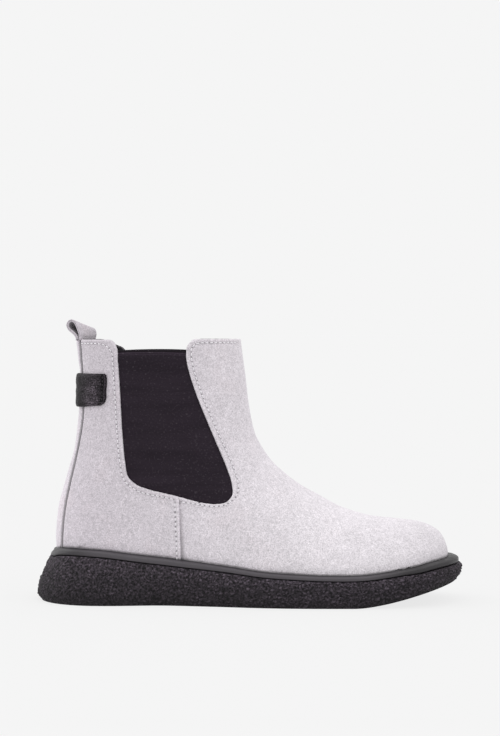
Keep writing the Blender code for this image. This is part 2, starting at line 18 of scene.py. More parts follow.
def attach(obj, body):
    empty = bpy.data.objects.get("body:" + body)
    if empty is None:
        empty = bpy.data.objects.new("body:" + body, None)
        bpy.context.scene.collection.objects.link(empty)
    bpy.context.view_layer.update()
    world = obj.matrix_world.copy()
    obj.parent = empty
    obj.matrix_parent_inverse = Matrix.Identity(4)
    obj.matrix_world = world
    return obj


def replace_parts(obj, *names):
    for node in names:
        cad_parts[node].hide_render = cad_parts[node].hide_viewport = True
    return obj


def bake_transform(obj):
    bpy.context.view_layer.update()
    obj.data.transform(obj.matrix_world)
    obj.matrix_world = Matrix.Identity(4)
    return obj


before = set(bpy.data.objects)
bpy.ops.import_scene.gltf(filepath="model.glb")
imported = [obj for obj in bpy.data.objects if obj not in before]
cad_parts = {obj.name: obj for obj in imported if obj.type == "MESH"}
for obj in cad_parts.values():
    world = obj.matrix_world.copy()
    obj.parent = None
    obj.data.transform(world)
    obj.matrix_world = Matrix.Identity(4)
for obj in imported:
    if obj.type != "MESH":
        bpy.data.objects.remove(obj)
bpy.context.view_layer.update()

MM = 0.001
GAP = 0.3                       # air between neighbouring pieces

# ---------------------------------------------------------------- the part's driving dimensions

TOE_TIP = 132.3
HEEL_BACK = -131.0
RAND_HEIGHT = 5.0
SHAFT_HALF_WIDTH = 29.3
TOE_RADIUS = 42.0               # length over which the toe narrows to its tip
CENTRE_SWING = 6.0              # how far the toe's middle lies to the medial side
SIDE_TUCK = 0.05                # share by which the sides go in at their foot, over this height:
TUCK_HEIGHT = 14.0
SEAM_X = (-45.5, -43.6)         # side seam, at the gore and at the sole
WINDOW_SEAM_Z = 71.1
TREAD_FLAT_END = 70.0
TOE_SPRING = 0.27               # slope of the tread under the toe
SPRING_EASE = 14.0              # length over which that slope comes in
LOOP_PIVOT = (-112.1, 2.0, 175.3)
LOOP_AXIS = (0.28, 0.96)
LOOP_HALF_WIDTH = 12.5

RIDGE = ((-6.9, 175.2), (-3.8, 152.0), (-0.8, 129.0), (3.0, 111.5), (9.5, 99.5), (15.5, 91.5),
         (20.0, 87.3), (27.0, 81.5), (35.0, 76.0), (46.0, 70.0), (60.0, 62.5), (78.0, 56.8),
         (97.0, 54.4), (114.0, 52.2), (126.0, 46.3), (131.5, 36.0), (TOE_TIP, 25.8))
BACK_ROWS = (174.4, 150.0, 127.0, 105.0, 80.0, 52.0, 32.0)
FEATHER_ROWS = (-130.9, -98.0, -55.0, -10.0, 32.0, 58.0, 72.0, 80.0, 85.0, 88.0, 90.0)
CORNER = len(BACK_ROWS) - 1
LAST_ROW = len(RIDGE) - 1
BACK = ((30, -130.7), (43.8, -131.5), (53.9, -130.8), (64, -129.5), (74.1, -126.8), (88.2, -122.8),
        (100.3, -119.4), (113.7, -117.4), (126.5, -116.0), (152.7, -115.4), (175.4, -117.6))
RAND_TOP = ((-131, 34.6), (-127, 36.0), (-121, 36.6), (-98, 36), (-74, 33.2), (-42, 29.8), (-10, 26),
            (6, 23.8), (30, 22.2), (55, 21.2), (79, 21.7), (95, 23.9), (111, 26.7), (122, 29.0),
            (135, 30.8))
LOW_LATERAL = ((-131, 29.5), (-100, 30), (-60, 29), (-20, 34), (20, 41), (45, 42.5), (75, 42),
               (100, 40), (132, 38))
LOW_MEDIAL = ((-131, 29.5), (-100, 29.5), (-60, 27), (-20, 30), (20, 38), (58, 41.5), (75, 41.5),
              (100, 40), (132, 38))
WINDOW_BACK = ((-94.0, 175.1), (-89.8, 173.5), (-87.4, 169.6), (-86.6, 160.0), (-85.0, 138.0),
               (-83.2, 110.0), (-81.2, 93.0), (-79.0, 83.5), (-74.0, 79.0), (-64.7, 75.4),
               (-55.0, 73.2), (SEAM_X[0], WINDOW_SEAM_Z))
WINDOW_FRONT = ((SEAM_X[0], WINDOW_SEAM_Z), (-35.0, 68.4), (-28.0, 67.1), (-21.0, 66.7),
                (-14.6, 67.9), (-10.4, 72.0), (-10.5, 80.5), (-14.3, 91.4), (-21.0, 107.0),
                (-27.8, 123.0), (-34.2, 139.0), (-39.0, 154.0), (-40.8, 164.0), (-39.8, 171.0),
                (-35.4, 175.2))
MEDIAL_CORNER = ((-106.0, 175.6), (-101.0, 173.8), (-95.0, 171.0), (-90.0, 168.8),
                 (-87.5, 166.0), (-86.7, 160.0))
BACKSTAY = ((-114.6, 180.0), (-112.9, 152.0), (-111.9, 125.0), (-116.6, 97.0), (-122.6, 67.0),
            (-125.3, 37.0), (-125.3, 20.0))
HEEL_TAB_Z = (129.2, 151.9)
HEEL_TAB_END = ((129.2, -98.6), (130.0, -97.0), (131.4, -95.3), (133.6, -94.4), (140.0, -94.1),
                (149.4, -93.9), (151.2, -94.3), (151.9, -95.4))
LOOP_NEAR = ((-1.6, 0.2), (-2.6, 1.8), (-4.6, 3.6), (-7.4, 5.9), (-8.6, 8.8), (-7.6, 11.5),
             (-4.8, 12.9), (-2.3, 11.9), (-0.4, 9.3), (1.2, 5.8), (2.3, 2.4), (2.2, 0.2))
LOOP_FAR = ((-1.6, 0.2), (-2.3, 1.6), (-3.3, 3.3), (-3.9, 4.9), (-3.4, 6.3), (-2.0, 7.1),
            (-0.2, 7.3), (1.3, 6.6), (2.3, 5.3), (2.6, 3.8), (2.6, 1.8), (2.2, 0.2))
SOLE_LEVELS = (0.0, 0.1, 0.32, 0.52, 0.75, 1.0)
SOLE_OUT = {"heel": (10.4, 12.8, 13.0, 11.3, 8.3, 5.2),
            "ball": (6.0, 7.2, 7.6, 7.5, 6.7, 5.6),
            "toe": (5.4, 6.9, 8.7, 9.3, 9.5, 8.8)}
RAND_OUT = {"heel": 4.3, "ball": 5.0, "toe": 7.0}

# The band's cross-section: share of RAND_OUT, what is added to it, and height.
RAND_SECTION = ((0.0, -1.5, 0.0), (0.0, 2.0, 0.05), (1.0, -1.0, 0.05), (1.0, -0.35, 0.15),
                (1.0, 0.0, 0.55), (1.0, 0.08, 1.6), (1.0, 0.05, 2.7), (1.0, -0.15, 3.3),
                (1.0, -0.6, 3.75), (1.0, -1.3, 4.2), (1.0, -2.3, 4.55), (0.3, 0.3, 4.75),
                (0.0, 0.75, 4.95), (0.0, 0.2, 5.0), (0.0, -0.9, 4.5))
HEEL_COUNTER = ((-69.0, 10.0), (-70.0, 34.0), (-77.0, 48.0), (-87.0, 61.0), (-98.0, 75.0),
                (-109.0, 80.0), (-140.0, 80.0))
TOE_PUFF = ((97.0, 60.0), (90.0, 42.0), (86.0, 10.0))

# ---------------------------------------------------------------- looks

SIDES = (("lateral", -1), ("medial", 1))

# Outlines in the side view that are closed far outside the boot.
FAR_BACK, FAR_FRONT, FAR_LOW, FAR_HIGH = -150.0, 150.0, 5.0, 190.0

SUEDE_DEPTH = 1.4
EDGE_RADIUS = 0.7
EDGE_LEVELS = (0.0, 0.22, 0.7)
EDGE_ROUGHNESS = 0.13            # how far a cut suede edge frays in and out
VAMP_UNDERLAP = 8.0
VAMP_SHADE = 1.03
# painted light: the backstay's tone is raised by this factor, for the light falling on the back of the
# shaft
BACKSTAY_PAINTED_LIGHT = 1.12
SEAM_GAP = 1.0                   # half the groove between a quarter and the backstay
PIPING_RADIUS = 0.80
PIPING_DEPTH = 0.62

STITCH_PITCH = 3.2
STITCH_LENGTH = 2.3
STITCH_LIFT = 0.12
STITCH_START = 0.3               # from a row's start to its first needle hole
STITCH_INSET = 3.3
TOP_INSET = 2.7
SEAM_INSET = 2.8
THREAD_RADIUS = 0.36
HOLE_WIDTH, HOLE_DEPTH = 0.42, 0.5
ROW_WIDTH, ROW_DEPTH = 0.75, 0.20
ROW_REFINED = ((1.6, 0.75), (1.2, 0.42))   # reach from a row, and the longest edge inside it
FINE_FAN = {"spacing": 1.0, "columns": 100}
COARSE_FAN = {"spacing": 2.2, "columns": 50}

GORE_TOP, GORE_FOOT = 167.6, 60.0
GORE_FINE_Z = 160.0              # the selvedge above this has closer rows
GORE_MARGIN = 5.0
GORE_OUTER, GORE_INNER = -1.75, -2.9
GORE_TURN_Z = 79.5               # below this the window's rear edge turns forward
GORE_FORE_Z = 73.0
RIB_PITCH = 0.96
RIM = 0.5                        # height of the rounding along the top edge

LINING_OUTER, LINING_INNER = -3.3, -4.1
BOARD_OUTER, BOARD_INNER = -1.7, -3.0

TAB_STAND_OFF = 1.55
TAB_EDGE_RADIUS = 0.75
TAB_GRAIN = 1.5
TAB_STITCH_INSET = 2.3
TAB_STITCH = {"lift": 1.85, "radius": 0.26, "pitch": 2.4, "length": 1.8}

PLY = 0.85                       # thickness of each of the loop's two plies
LOOP_STEPS = 72
LOOP_SUNK = 1.6                  # how far the loop's ends go down behind the quarters

CREPE_SPACING = 0.56
CREPE_CRUMB = (3.0, 3.0, 2.0)
TREAD_COLUMNS = 60
GROOVE_DEPTH, GROOVE_PITCH = 1.2, 14.0
INSOCK_RISE = 6.7
INSOCK_EDGE = 6.2

# Studio: the sky's and the floor's brightness, and the suns (name, direction, strength, spread).
WHITE = 0.913
FLOOR_ALBEDO = 0.10
SUNS = (("top", (0.25, -0.25, 1.0), 0.85, 70.0), ("back_left", (-1.0, 0.25, 0.6), 0.75, 60.0))

FLOOR_REACH = 60.0               # metres
CAMERA_DISTANCE = 1.3            # metres
CAMERA_TURN = 3.5                # degrees from square on, to the toe's side
CAMERA_HEIGHT = 0.1809
CAMERA_LENS = 94.6
CAMERA_SHIFT = (-0.0009, -0.0516)


# ---------------------------------------------------------------- curves and noise

def smooth(x, start, end):
    """0 before start, 1 after end, and a smooth step between."""
    t = np.clip((x - start) / (end - start), 0.0, 1.0)
    return t * t * (3.0 - 2.0 * t)


def bump(x, centre, width):
    """A bell: 1 at the centre."""
    return np.exp(-((x - centre) / width) ** 2)


def through(points):
    """A smooth function y(x) through points given in the order of x."""
    x, y = np.array(points, float).T
    slope = np.gradient(y, x)

    def value(at):
        at = np.clip(at, x[0], x[-1])
        i = np.clip(np.searchsorted(x, at) - 1, 0, len(x) - 2)
        step = x[i + 1] - x[i]
        t = (at - x[i]) / step
        start = (1 + 2 * t) * (1 - t) ** 2 * y[i] + t * (1 - t) ** 2 * step * slope[i]
        return start + t * t * (3 - 2 * t) * y[i + 1] + t * t * (t - 1) * step * slope[i + 1]

    return value


def arc(points):
    """Length along a line at each of its points."""
    return np.concatenate([[0.0], np.cumsum(np.linalg.norm(np.diff(points, axis=0), axis=1))])


def stroke(points, spacing=1.0):
    """A smooth line through points, sampled evenly."""
    points = np.array(points, float)
    length = arc(points)
    at = np.linspace(0.0, length[-1], max(2, int(np.ceil(length[-1] / spacing)) + 1))
    return np.column_stack([through(np.column_stack([length, column]))(at) for column in points.T])


def at_length(line, length, at):
    """Points of a line at distances along it, from the lengths at its own points."""
    return np.column_stack([np.interp(at, length, column) for column in line.T])


def resampled(points, spacing):
    """The same line with evenly spaced points."""
    length = arc(points)
    at = np.linspace(0.0, length[-1], max(2, int(round(length[-1] / spacing)) + 1))
    return at_length(points, length, at)


def unit(vectors):
    return vectors / np.maximum(np.linalg.norm(vectors, axis=-1, keepdims=True), 1e-9)


def right_of(line):
    """Unit directions to the right-hand side of an open flat line."""
    along = unit(np.gradient(line, axis=0))
    return np.column_stack([along[:, 1], -along[:, 0]])


def widened(line, amount):
    """The open line moved to its right-hand side."""
    return line + right_of(line) * np.reshape(amount, (-1, 1))


def hash01(cell, salt):
    """A repeatable number from 0 to 1 for each whole-numbered cell."""
    n = cell.astype(np.int64)
    h = (n[:, 0] * 73856093) ^ (n[:, 1] * 19349663) ^ (n[:, 2] * 83492791) ^ (salt * 2654435761)
    h = (h ^ (h >> 13)) * 1274126177
    return ((h ^ (h >> 16)) & 0xFFFFFF) / float(0xFFFFFF)


def noise(points, size, salt=0):
    """Smooth noise from -1 to 1 with features of a size."""
    p = points / np.array(size)
    base = np.floor(p)
    f = p - base
    f = f * f * (3 - 2 * f)
    total = np.zeros(len(p))
    for corner in itertools.product((0, 1), repeat=3):
        weight = np.prod(np.where(np.array(corner) == 1, f, 1 - f), axis=1)
        total += weight * hash01(base + corner, salt)
    return 2 * total - 1


def cells(points, size, salt=0):
    """Distance to the nearest and the second nearest of scattered centres, as shares of a size."""
    p = points / np.array(size)
    base = np.floor(p)
    nearest, second = np.full(len(p), 9.0), np.full(len(p), 9.0)
    for step in itertools.product((-1, 0, 1), repeat=3):
        cell = base + step
        middle = cell + np.column_stack([hash01(cell, salt + k) for k in (1, 2, 3)])
        distance = np.linalg.norm(p - middle, axis=1)
        second = np.minimum(second, np.maximum(nearest, distance))
        nearest = np.minimum(nearest, distance)
    return nearest, second


# ---------------------------------------------------------------- the upper's surface

back_x = through(BACK)
rand_top = through(RAND_TOP)
low_lateral = through(LOW_LATERAL)
low_medial = through(LOW_MEDIAL)
ridge_x = through([(i, point[0]) for i, point in enumerate(RIDGE)])
ridge_z = through([(i, point[1]) for i, point in enumerate(RIDGE)])
row_back_z = through(list(enumerate(BACK_ROWS)))
row_feather_x = through([(i + CORNER, x) for i, x in enumerate(FEATHER_ROWS)])
_row = np.linspace(0.0, LAST_ROW, 161)
RIDGE_LINE = np.vstack([[(-10.3, 200.0)], np.column_stack([ridge_x(_row), ridge_z(_row)])])


def sole_top(x):
    """Height of the sole's upper face, under the band."""
    return rand_top(x) - RAND_HEIGHT - GAP


def tread(x):
    """Height of the tread: flat, then rising under the toe."""
    ahead = np.maximum(x - TREAD_FLAT_END, 0.0)
    return TOE_SPRING * (ahead - SPRING_EASE * (1.0 - np.exp(-ahead / SPRING_EASE)))


def top_line(x):
    """Height of the boot's top edge in the side view."""
    return np.interp(x, (back_x(BACK_ROWS[0]), RIDGE[0][0]), (BACK_ROWS[0], RIDGE[0][1]))


def cap(u):
    """A quarter circle: 0 at 0 and level at 1."""
    return np.sqrt(1.0 - (1.0 - np.clip(u, 0.0, 1.0)) ** 2)


def ridge_distance(x, z):
    """Distance in the side view to the ridge line."""
    start, end = RIDGE_LINE[:-1], RIDGE_LINE[1:]
    along = end - start
    point = np.column_stack([x, z])[:, None, :]
    t = np.clip(((point - start) * along).sum(-1) / (along ** 2).sum(-1), 0.0, 1.0)
    return np.linalg.norm(point - (start + t[..., None] * along), axis=-1).min(-1)


def half_width(x, z, side):
    """Half the upper's width at places of its side view; side is -1 lateral, 1 medial."""
    low = np.where(side < 0, low_lateral(x), low_medial(x))
    shaft = smooth(z, 55.0, 112.0)
    width = low * (1.0 - shaft) + SHAFT_HALF_WIDTH * shaft
    top = np.interp(x, RIDGE_LINE[:, 0], RIDGE_LINE[:, 1])
    foot = sole_top(x)
    toe = smooth(x, 60.0, 95.0)
    reach = 42.0 + 8.0 * smooth(z, 90.0, 150.0)
    depth = (1.0 - toe) * ridge_distance(x, z) / reach
    depth = depth + toe * np.clip((top - z) / np.maximum(top - foot, 1.0), 0.0, 1.0)
    back = (x - back_x(z)) / (30.0 + 13.0 * smooth(z, 45.0, 110.0))
    tuck = 1.0 - SIDE_TUCK * (1.0 - np.clip((z - foot) / TUCK_HEIGHT, 0.0, 1.0)) ** 2
    return width * cap(depth) * cap((TOE_TIP - x) / TOE_RADIUS) * cap(back) * tuck


def centre(x):
    """Where the middle of the boot lies across it."""
    return CENTRE_SWING * smooth(x, -40.0, TOE_TIP)


def on_surface(x, z, side, read_x=None, read_z=None, width=None):
    """Places and outward normals of surface points, in pieces to save memory."""
    x, z, side = np.broadcast_arrays(np.asarray(x, float), z, side)
    read_x = x if read_x is None else read_x
    read_z = z if read_z is None else read_z
    width = np.full(len(x), np.nan) if width is None else width
    step, places, normals = 0.1, [], []
    for first in range(0, len(x), 4000):
        part = slice(first, first + 4000)
        a, b, s = read_x[part], read_z[part], side[part]
        w = np.where(np.isnan(width[part]), half_width(x[part], z[part], s), width[part])
        slope_x = half_width(a + step, b, s) ** 2 - half_width(a - step, b, s) ** 2
        slope_z = half_width(a, b + step, s) ** 2 - half_width(a, b - step, s) ** 2
        swing = (centre(a + step) - centre(a - step)) / (2.0 * step)
        normal = np.column_stack([-slope_x / (2 * step) - 2 * s * w * swing, 2 * s * w,
                                  -slope_z / (2 * step)])
        places.append(np.column_stack([x[part], centre(x[part]) + s * w, z[part]]))
        normals.append(unit(normal))
    return np.vstack(places), np.vstack(normals)


def locate(uv):
    """Places and normals at (row, v); v runs from -1 on the lateral side through 0 on the ridge to 1."""
    row, t = uv[:, 0], np.abs(uv[:, 1])
    on_back = row <= CORNER + 1e-9
    ridge = np.column_stack([ridge_x(row), ridge_z(row)])
    end_x = np.where(on_back, back_x(row_back_z(row)), row_feather_x(row))
    end = np.column_stack([end_x, np.where(on_back, row_back_z(row), sole_top(end_x) + GAP)])
    to_back = 1.0 - smooth(row, CORNER, CORNER + 2.0)
    share = to_back * (1 - np.cos(np.pi * t)) / 2 + (1 - to_back) * (1 - np.cos(np.pi * t / 2))
    nudge = 0.4 / np.linalg.norm(end - ridge, axis=1)
    read = np.clip(share, nudge, np.where(on_back, 1.0 - nudge, 1.0))
    line = ridge + share[:, None] * (end - ridge)
    read_line = ridge + read[:, None] * (end - ridge)
    seam = (t < 1e-9) | (on_back & (t > 1 - 1e-9))
    width = np.where(seam, 0.0, np.nan)
    return on_surface(line[:, 0], line[:, 1], np.where(uv[:, 1] > 0, 1, -1),
                      read_line[:, 0], read_line[:, 1], width)


def grid_quads(rows, columns, first=0):
    """Faces of a grid of points that are numbered row by row."""
    corner = (np.arange(rows - 1)[:, None] * columns + np.arange(columns - 1)).ravel() + first
    return np.column_stack([corner, corner + 1, corner + columns + 1, corner + columns])


def fan(spacing, columns):
    """Rows and columns of the whole upper as (row, v) points and triangles."""
    fine = np.linspace(0.0, LAST_ROW, 2401)
    ridge = np.column_stack([ridge_x(fine), ridge_z(fine)])
    foot = np.column_stack([np.where(fine <= CORNER, back_x(row_back_z(fine)), row_feather_x(fine)),
                            np.where(fine <= CORNER, row_back_z(fine), BACK_ROWS[-1])])
    step = np.maximum(np.linalg.norm(np.diff(ridge, axis=0), axis=1),
                      np.linalg.norm(np.diff(foot, axis=0), axis=1))
    length = np.append(0.0, np.cumsum(step))
    rows = np.interp(np.linspace(0.0, length[-1], int(length[-1] / spacing) + 1), length, fine)
    rows[np.argmin(np.abs(rows - CORNER))] = CORNER
    v = np.linspace(-1.0, 1.0, 2 * columns + 1)
    uv = np.column_stack([np.repeat(rows, len(v)), np.tile(v, len(rows))])
    a, b, c, d = grid_quads(len(rows), len(v)).T
    return uv, np.vstack([np.column_stack([a, b, c]), np.column_stack([a, c, d])])


# ---------------------------------------------------------------- sheets cut from the surface

def tri_edges(tris):
    return np.vstack([tris[:, [0, 1]], tris[:, [1, 2]], tris[:, [2, 0]]])


def foreshortening(normals, direction):
    """How much a distance on the surface shortens in the side view, by its direction there."""
    facing = normals[:, 0] * direction[:, 0] + normals[:, 2] * direction[:, 1]
    return np.sqrt(np.maximum(1 - facing ** 2, 0.05))


def split(tris, count, cut):
    """Puts points on edges.  cut(i, j) gives the share of the way from i to j, or nan for no point.

    Returns the new triangles and, for each new point, its edge's ends and its share.
    """
    edges = np.sort(tri_edges(tris), axis=1)
    key, inverse = np.unique(edges[:, 0] * (count + 1) + edges[:, 1], return_inverse=True)
    low, high = key // (count + 1), key % (count + 1)
    share = cut(low, high)
    used = ~np.isnan(share)
    number = np.full(len(key), -1)
    number[used] = count + np.arange(used.sum())
    middle = number[inverse.ravel()].reshape(3, -1).T
    splits = (middle >= 0).sum(1)
    made = [tris[splits == 0]]
    for times in (1, 2, 3):
        pick = splits == times
        if not pick.any():
            continue
        t, m = tris[pick], middle[pick]
        turn = np.argmax(m >= 0, axis=1) if times == 1 else (np.argmax(m < 0, axis=1) + 1) % 3
        turn = np.zeros(len(t), int) if times == 3 else turn
        order = (np.arange(3) + turn[:, None]) % 3
        t, m = np.take_along_axis(t, order, 1), np.take_along_axis(m, order, 1)
        a, b, c = t.T
        ab, bc, ca = m.T
        made += {1: [np.column_stack([a, ab, c]), np.column_stack([ab, b, c])],
                 2: [np.column_stack([ab, b, bc]), np.column_stack([a, ab, bc]),
                     np.column_stack([a, bc, c])],
                 3: [np.column_stack([a, ab, ca]), np.column_stack([ab, b, bc]),
                     np.column_stack([bc, c, ca]), np.column_stack([ab, bc, ca])]}[times]
    return np.vstack(made), low[used], high[used], share[used]


def outline_distance(places, normals, line):
    """Distance on the surface from points to a closed side-view outline; positive inside."""
    start, end = line, np.roll(line, -1, axis=0)
    along = end - start
    squared = np.maximum((along ** 2).sum(-1), 1e-12)
    result = []
    for first in range(0, len(places), 3000):
        part = slice(first, first + 3000)
        point = places[part][:, None, [0, 2]]
        t = np.clip(((point - start) * along).sum(-1) / squared, 0.0, 1.0)
        away = point - (start + t[..., None] * along)
        distance = np.linalg.norm(away, axis=-1)
        best = distance.argmin(-1)
        pick = np.arange(len(best))
        near, direction = distance[pick, best], away[pick, best]
        edge = along[best]
        square_on = unit(np.column_stack([edge[:, 1], -edge[:, 0]]))
        way = np.where(near[:, None] > 0.01, direction / np.maximum(near, 1e-9)[:, None], square_on)
        crossing = (start[:, 1] > point[..., 1]) != (end[:, 1] > point[..., 1])
        rise = np.where(np.abs(along[:, 1]) < 1e-12, 1e-12, along[:, 1])
        at = start[:, 0] + (point[..., 1] - start[:, 1]) / rise * along[:, 0]
        inside = (crossing & (point[..., 0] < at)).sum(-1) % 2 == 1
        result.append(np.where(inside, 1.0, -1.0) * near / foreshortening(normals[part], way))
    return np.concatenate(result)


class Sheet:
    """A piece of the upper's surface: triangles, places, normals, and the distance to its outline."""

    def __init__(self, uv, tris, places, normals):
        self.uv, self.tris, self.places, self.normals = uv, tris, places, normals
        self.edge = np.full(len(uv), 9.0)

    def part(self, keep):
        """The triangles for which keep is true, as a new sheet."""
        tris = self.tris[keep]
        used, inverse = np.unique(tris, return_inverse=True)
        made = Sheet(self.uv[used], inverse.reshape(-1, 3), self.places[used], self.normals[used])
        made.edge = self.edge[used]
        return made

    def add(self, cut, outline, level=None):
        """Splits edges where cut() says, and gives the new points their distance to the outline."""
        tris, low, high, share = split(self.tris, len(self.uv), cut)
        uv = self.uv[low] + share[:, None] * (self.uv[high] - self.uv[low])
        places, normals = locate(uv)
        edge = outline_distance(places, normals, outline) if level is None else np.full(len(uv), level)
        self.tris, self.uv = tris, np.vstack([self.uv, uv])
        self.places, self.normals = np.vstack([self.places, places]), np.vstack([self.normals, normals])
        self.edge = np.concatenate([self.edge, edge])

    def cut(self, outline, levels=EDGE_LEVELS, rough=0.0, far=1.5, sign=1.0):
        """Keeps what lies inside a side-view outline, or outside it with sign -1.

        It adds points along lines near the edge.
        """
        self.edge = sign * outline_distance(self.places, self.normals, outline)
        made = self.part((self.edge[self.tris] > -far).any(1))
        if rough:
            made.edge = made.edge + rough * noise(made.places, 0.9, 5)
        for level in levels:
            made.edge[np.abs(made.edge - level) < 0.05] = level

            def crossing(low, high, level=level):
                a, b = made.edge[low] - level, made.edge[high] - level
                return np.where(a * b < 0, a / np.where(a == b, 1.0, a - b), np.nan)

            made.add(crossing, outline, level)
            if level == levels[0]:
                made = made.part((made.edge[made.tris] >= level - 1e-6).all(1))
        return made

    def refine(self, near, longest, outline):
        """Halves the edges longer than a length on triangles that touch the chosen points."""
        chosen = near(self.places)
        marked = chosen[self.tris].any(1)
        edges = np.sort(tri_edges(self.tris[marked]), axis=1)
        keys = np.unique(edges[:, 0] * (len(self.uv) + 1) + edges[:, 1])

        def half(low, high):
            long = np.linalg.norm(self.places[low] - self.places[high], axis=1) > longest
            return np.where(long & np.isin(low * (len(self.uv) + 1) + high, keys), 0.5, np.nan)

        self.add(half, outline)


def whole_upper(spacing, columns):
    """The whole upper's surface as one sheet."""
    uv, tris = fan(spacing, columns)
    return Sheet(uv, tris, *locate(uv))


# ---------------------------------------------------------------- Blender objects

def set_tone(mesh, tone):
    values = np.asarray(tone, np.float32)
    mesh.attributes.new("tone", "FLOAT", "POINT").data.foreach_set("value", values)


def make_mesh(name, points, faces, finish, tone=None):
    """A smooth-shaded object from points in millimetres.  tone multiplies the material's colour."""
    mesh = bpy.data.meshes.new(name)
    mesh.from_pydata((np.asarray(points) * MM).tolist(), [], [list(map(int, f)) for f in faces])
    if tone is not None:
        set_tone(mesh, tone)
    mesh.materials.append(finish)
    mesh.polygons.foreach_set("use_smooth", np.ones(len(mesh.polygons), bool))
    obj = bpy.data.objects.new(name, mesh)
    bpy.context.scene.collection.objects.link(obj)
    return obj


def weld(obj):
    """Joins points that lie on each other."""
    bm = bmesh.new()
    bm.from_mesh(obj.data)
    bmesh.ops.remove_doubles(bm, verts=bm.verts, dist=1e-6)
    bm.to_mesh(obj.data)
    bm.free()
    return obj


def border(tris):
    """Directed edges that belong to one triangle only."""
    edges = tri_edges(tris)
    key = np.sort(edges, axis=1)
    _, first, times = np.unique(key, axis=0, return_index=True, return_counts=True)
    return edges[first[times == 1]]


def skirted(sheet, offset, depth, tone):
    """Points, faces and tones of a sheet raised by offset, with walls down to a depth at its border."""
    top = sheet.places + sheet.normals * np.reshape(offset, (-1, 1))
    rim = border(sheet.tris)
    used, inverse = np.unique(rim, return_inverse=True)
    low = sheet.places[used] - sheet.normals[used] * depth
    a, b = rim.T
    c, d = (inverse.reshape(-1, 2) + len(top)).T
    walls = np.column_stack([b, a, c, d])
    return (np.vstack([top, low]), [*sheet.tris.tolist(), *walls.tolist()],
            np.concatenate([tone, tone[used] * 0.9]))


def shell(sheet, outer, inner):
    """Points and faces of a sheet with two faces and a closed border."""
    top, bottom = (sheet.places + sheet.normals * np.reshape(offset, (-1, 1)) for offset in (outer, inner))
    rim, count = border(sheet.tris), len(top)
    walls = np.column_stack([rim[:, 1], rim[:, 0], rim[:, 0] + count, rim[:, 1] + count])
    faces = [*sheet.tris.tolist(), *(sheet.tris[:, ::-1] + count).tolist(), *walls.tolist()]
    return np.vstack([top, bottom]), faces


def lofted(rings):
    """Faces between stacked closed rings of equal size."""
    count, made = len(rings[0]), []
    base = np.arange(count)
    ahead = np.roll(base, -1)
    for level in range(len(rings) - 1):
        low, high = level * count, (level + 1) * count
        made.append(np.column_stack([base + low, ahead + low, ahead + high, base + high]))
    return np.vstack(made)


def add_tube(points, faces, spine, across, up, radius, sides):
    """A round cord along a line, with closed ends, added to lists of points and faces."""
    turn = np.arange(sides) * 2 * np.pi / sides
    ring = across[:, None] * np.cos(turn)[:, None] + up[:, None] * np.sin(turn)[:, None]
    rings = spine[:, None] + ring * radius
    first = sum(len(p) for p in points)
    last = first + sides * (len(spine) - 1)
    points.append(rings.reshape(-1, 3))
    faces += (lofted(rings) + first).tolist()
    faces += [list(range(first, first + sides))[::-1], list(range(last, last + sides))]


def nearest(points):
    """A function that gives the distance from places to the nearest of some points."""
    tree = KDTree(len(points))
    for i, point in enumerate(points):
        tree.insert(point, i)
    tree.balance()
    return lambda places: np.array([tree.find(place)[2] for place in places])


# ---------------------------------------------------------------- outlines of the panels

def below_top(line):
    """The closed outline's part under the boot's top edge."""
    over = line[:, 1] - top_line(line[:, 0])
    kept = []
    for i in range(len(line)):
        j = (i + 1) % len(line)
        if over[i] <= 0:
            kept.append(line[i])
        if (over[i] > 0) != (over[j] > 0):
            kept.append(line[i] + (line[j] - line[i]) * over[i] / (over[i] - over[j]))
    return np.array(kept)


def beside(line, amount):
    """A line beside another at a distance that is measured on the boot's surface."""
    _places, normals = on_surface(line[:, 0], line[:, 1], -1)
    return widened(line, amount * foreshortening(normals, right_of(line)))


def seam_x(z):
    """Where the side seam runs, by height."""
    return np.interp(z, (20.0, WINDOW_SEAM_Z), (SEAM_X[1], SEAM_X[0]))


WINDOW_REAR = stroke(WINDOW_BACK)
WINDOW_FORE = stroke(WINDOW_FRONT)
WINDOW_REAR_MEDIAL = np.vstack([stroke(MEDIAL_CORNER), WINDOW_REAR[WINDOW_REAR[:, 1] < 159.2]])
BACK_EDGE = stroke(BACKSTAY)


def quarter_outline(side):
    back = BACK_EDGE[::-1] + np.array([SEAM_GAP, 0.0])
    rear = WINDOW_REAR if side < 0 else WINDOW_REAR_MEDIAL
    return below_top(np.vstack([back, [(rear[0, 0], 180.0)], rear, [(SEAM_X[1], 10.0)]]))


def vamp_outline():
    far = [(WINDOW_FORE[-1, 0], FAR_HIGH), (FAR_FRONT, FAR_HIGH), (FAR_FRONT, FAR_LOW)]
    under = [(SEAM_X[1] - VAMP_UNDERLAP, FAR_LOW), (SEAM_X[0] - VAMP_UNDERLAP, WINDOW_SEAM_Z - 2.5),
             (SEAM_X[0] - 1.0, WINDOW_SEAM_Z - 0.8)]
    return below_top(np.vstack([WINDOW_FORE, far, under]))


def backstay_outline():
    line = BACK_EDGE - np.array([SEAM_GAP, 0.0])
    return below_top(np.vstack([line, [(FAR_BACK, 20.0), (FAR_BACK, 180.0)]]))


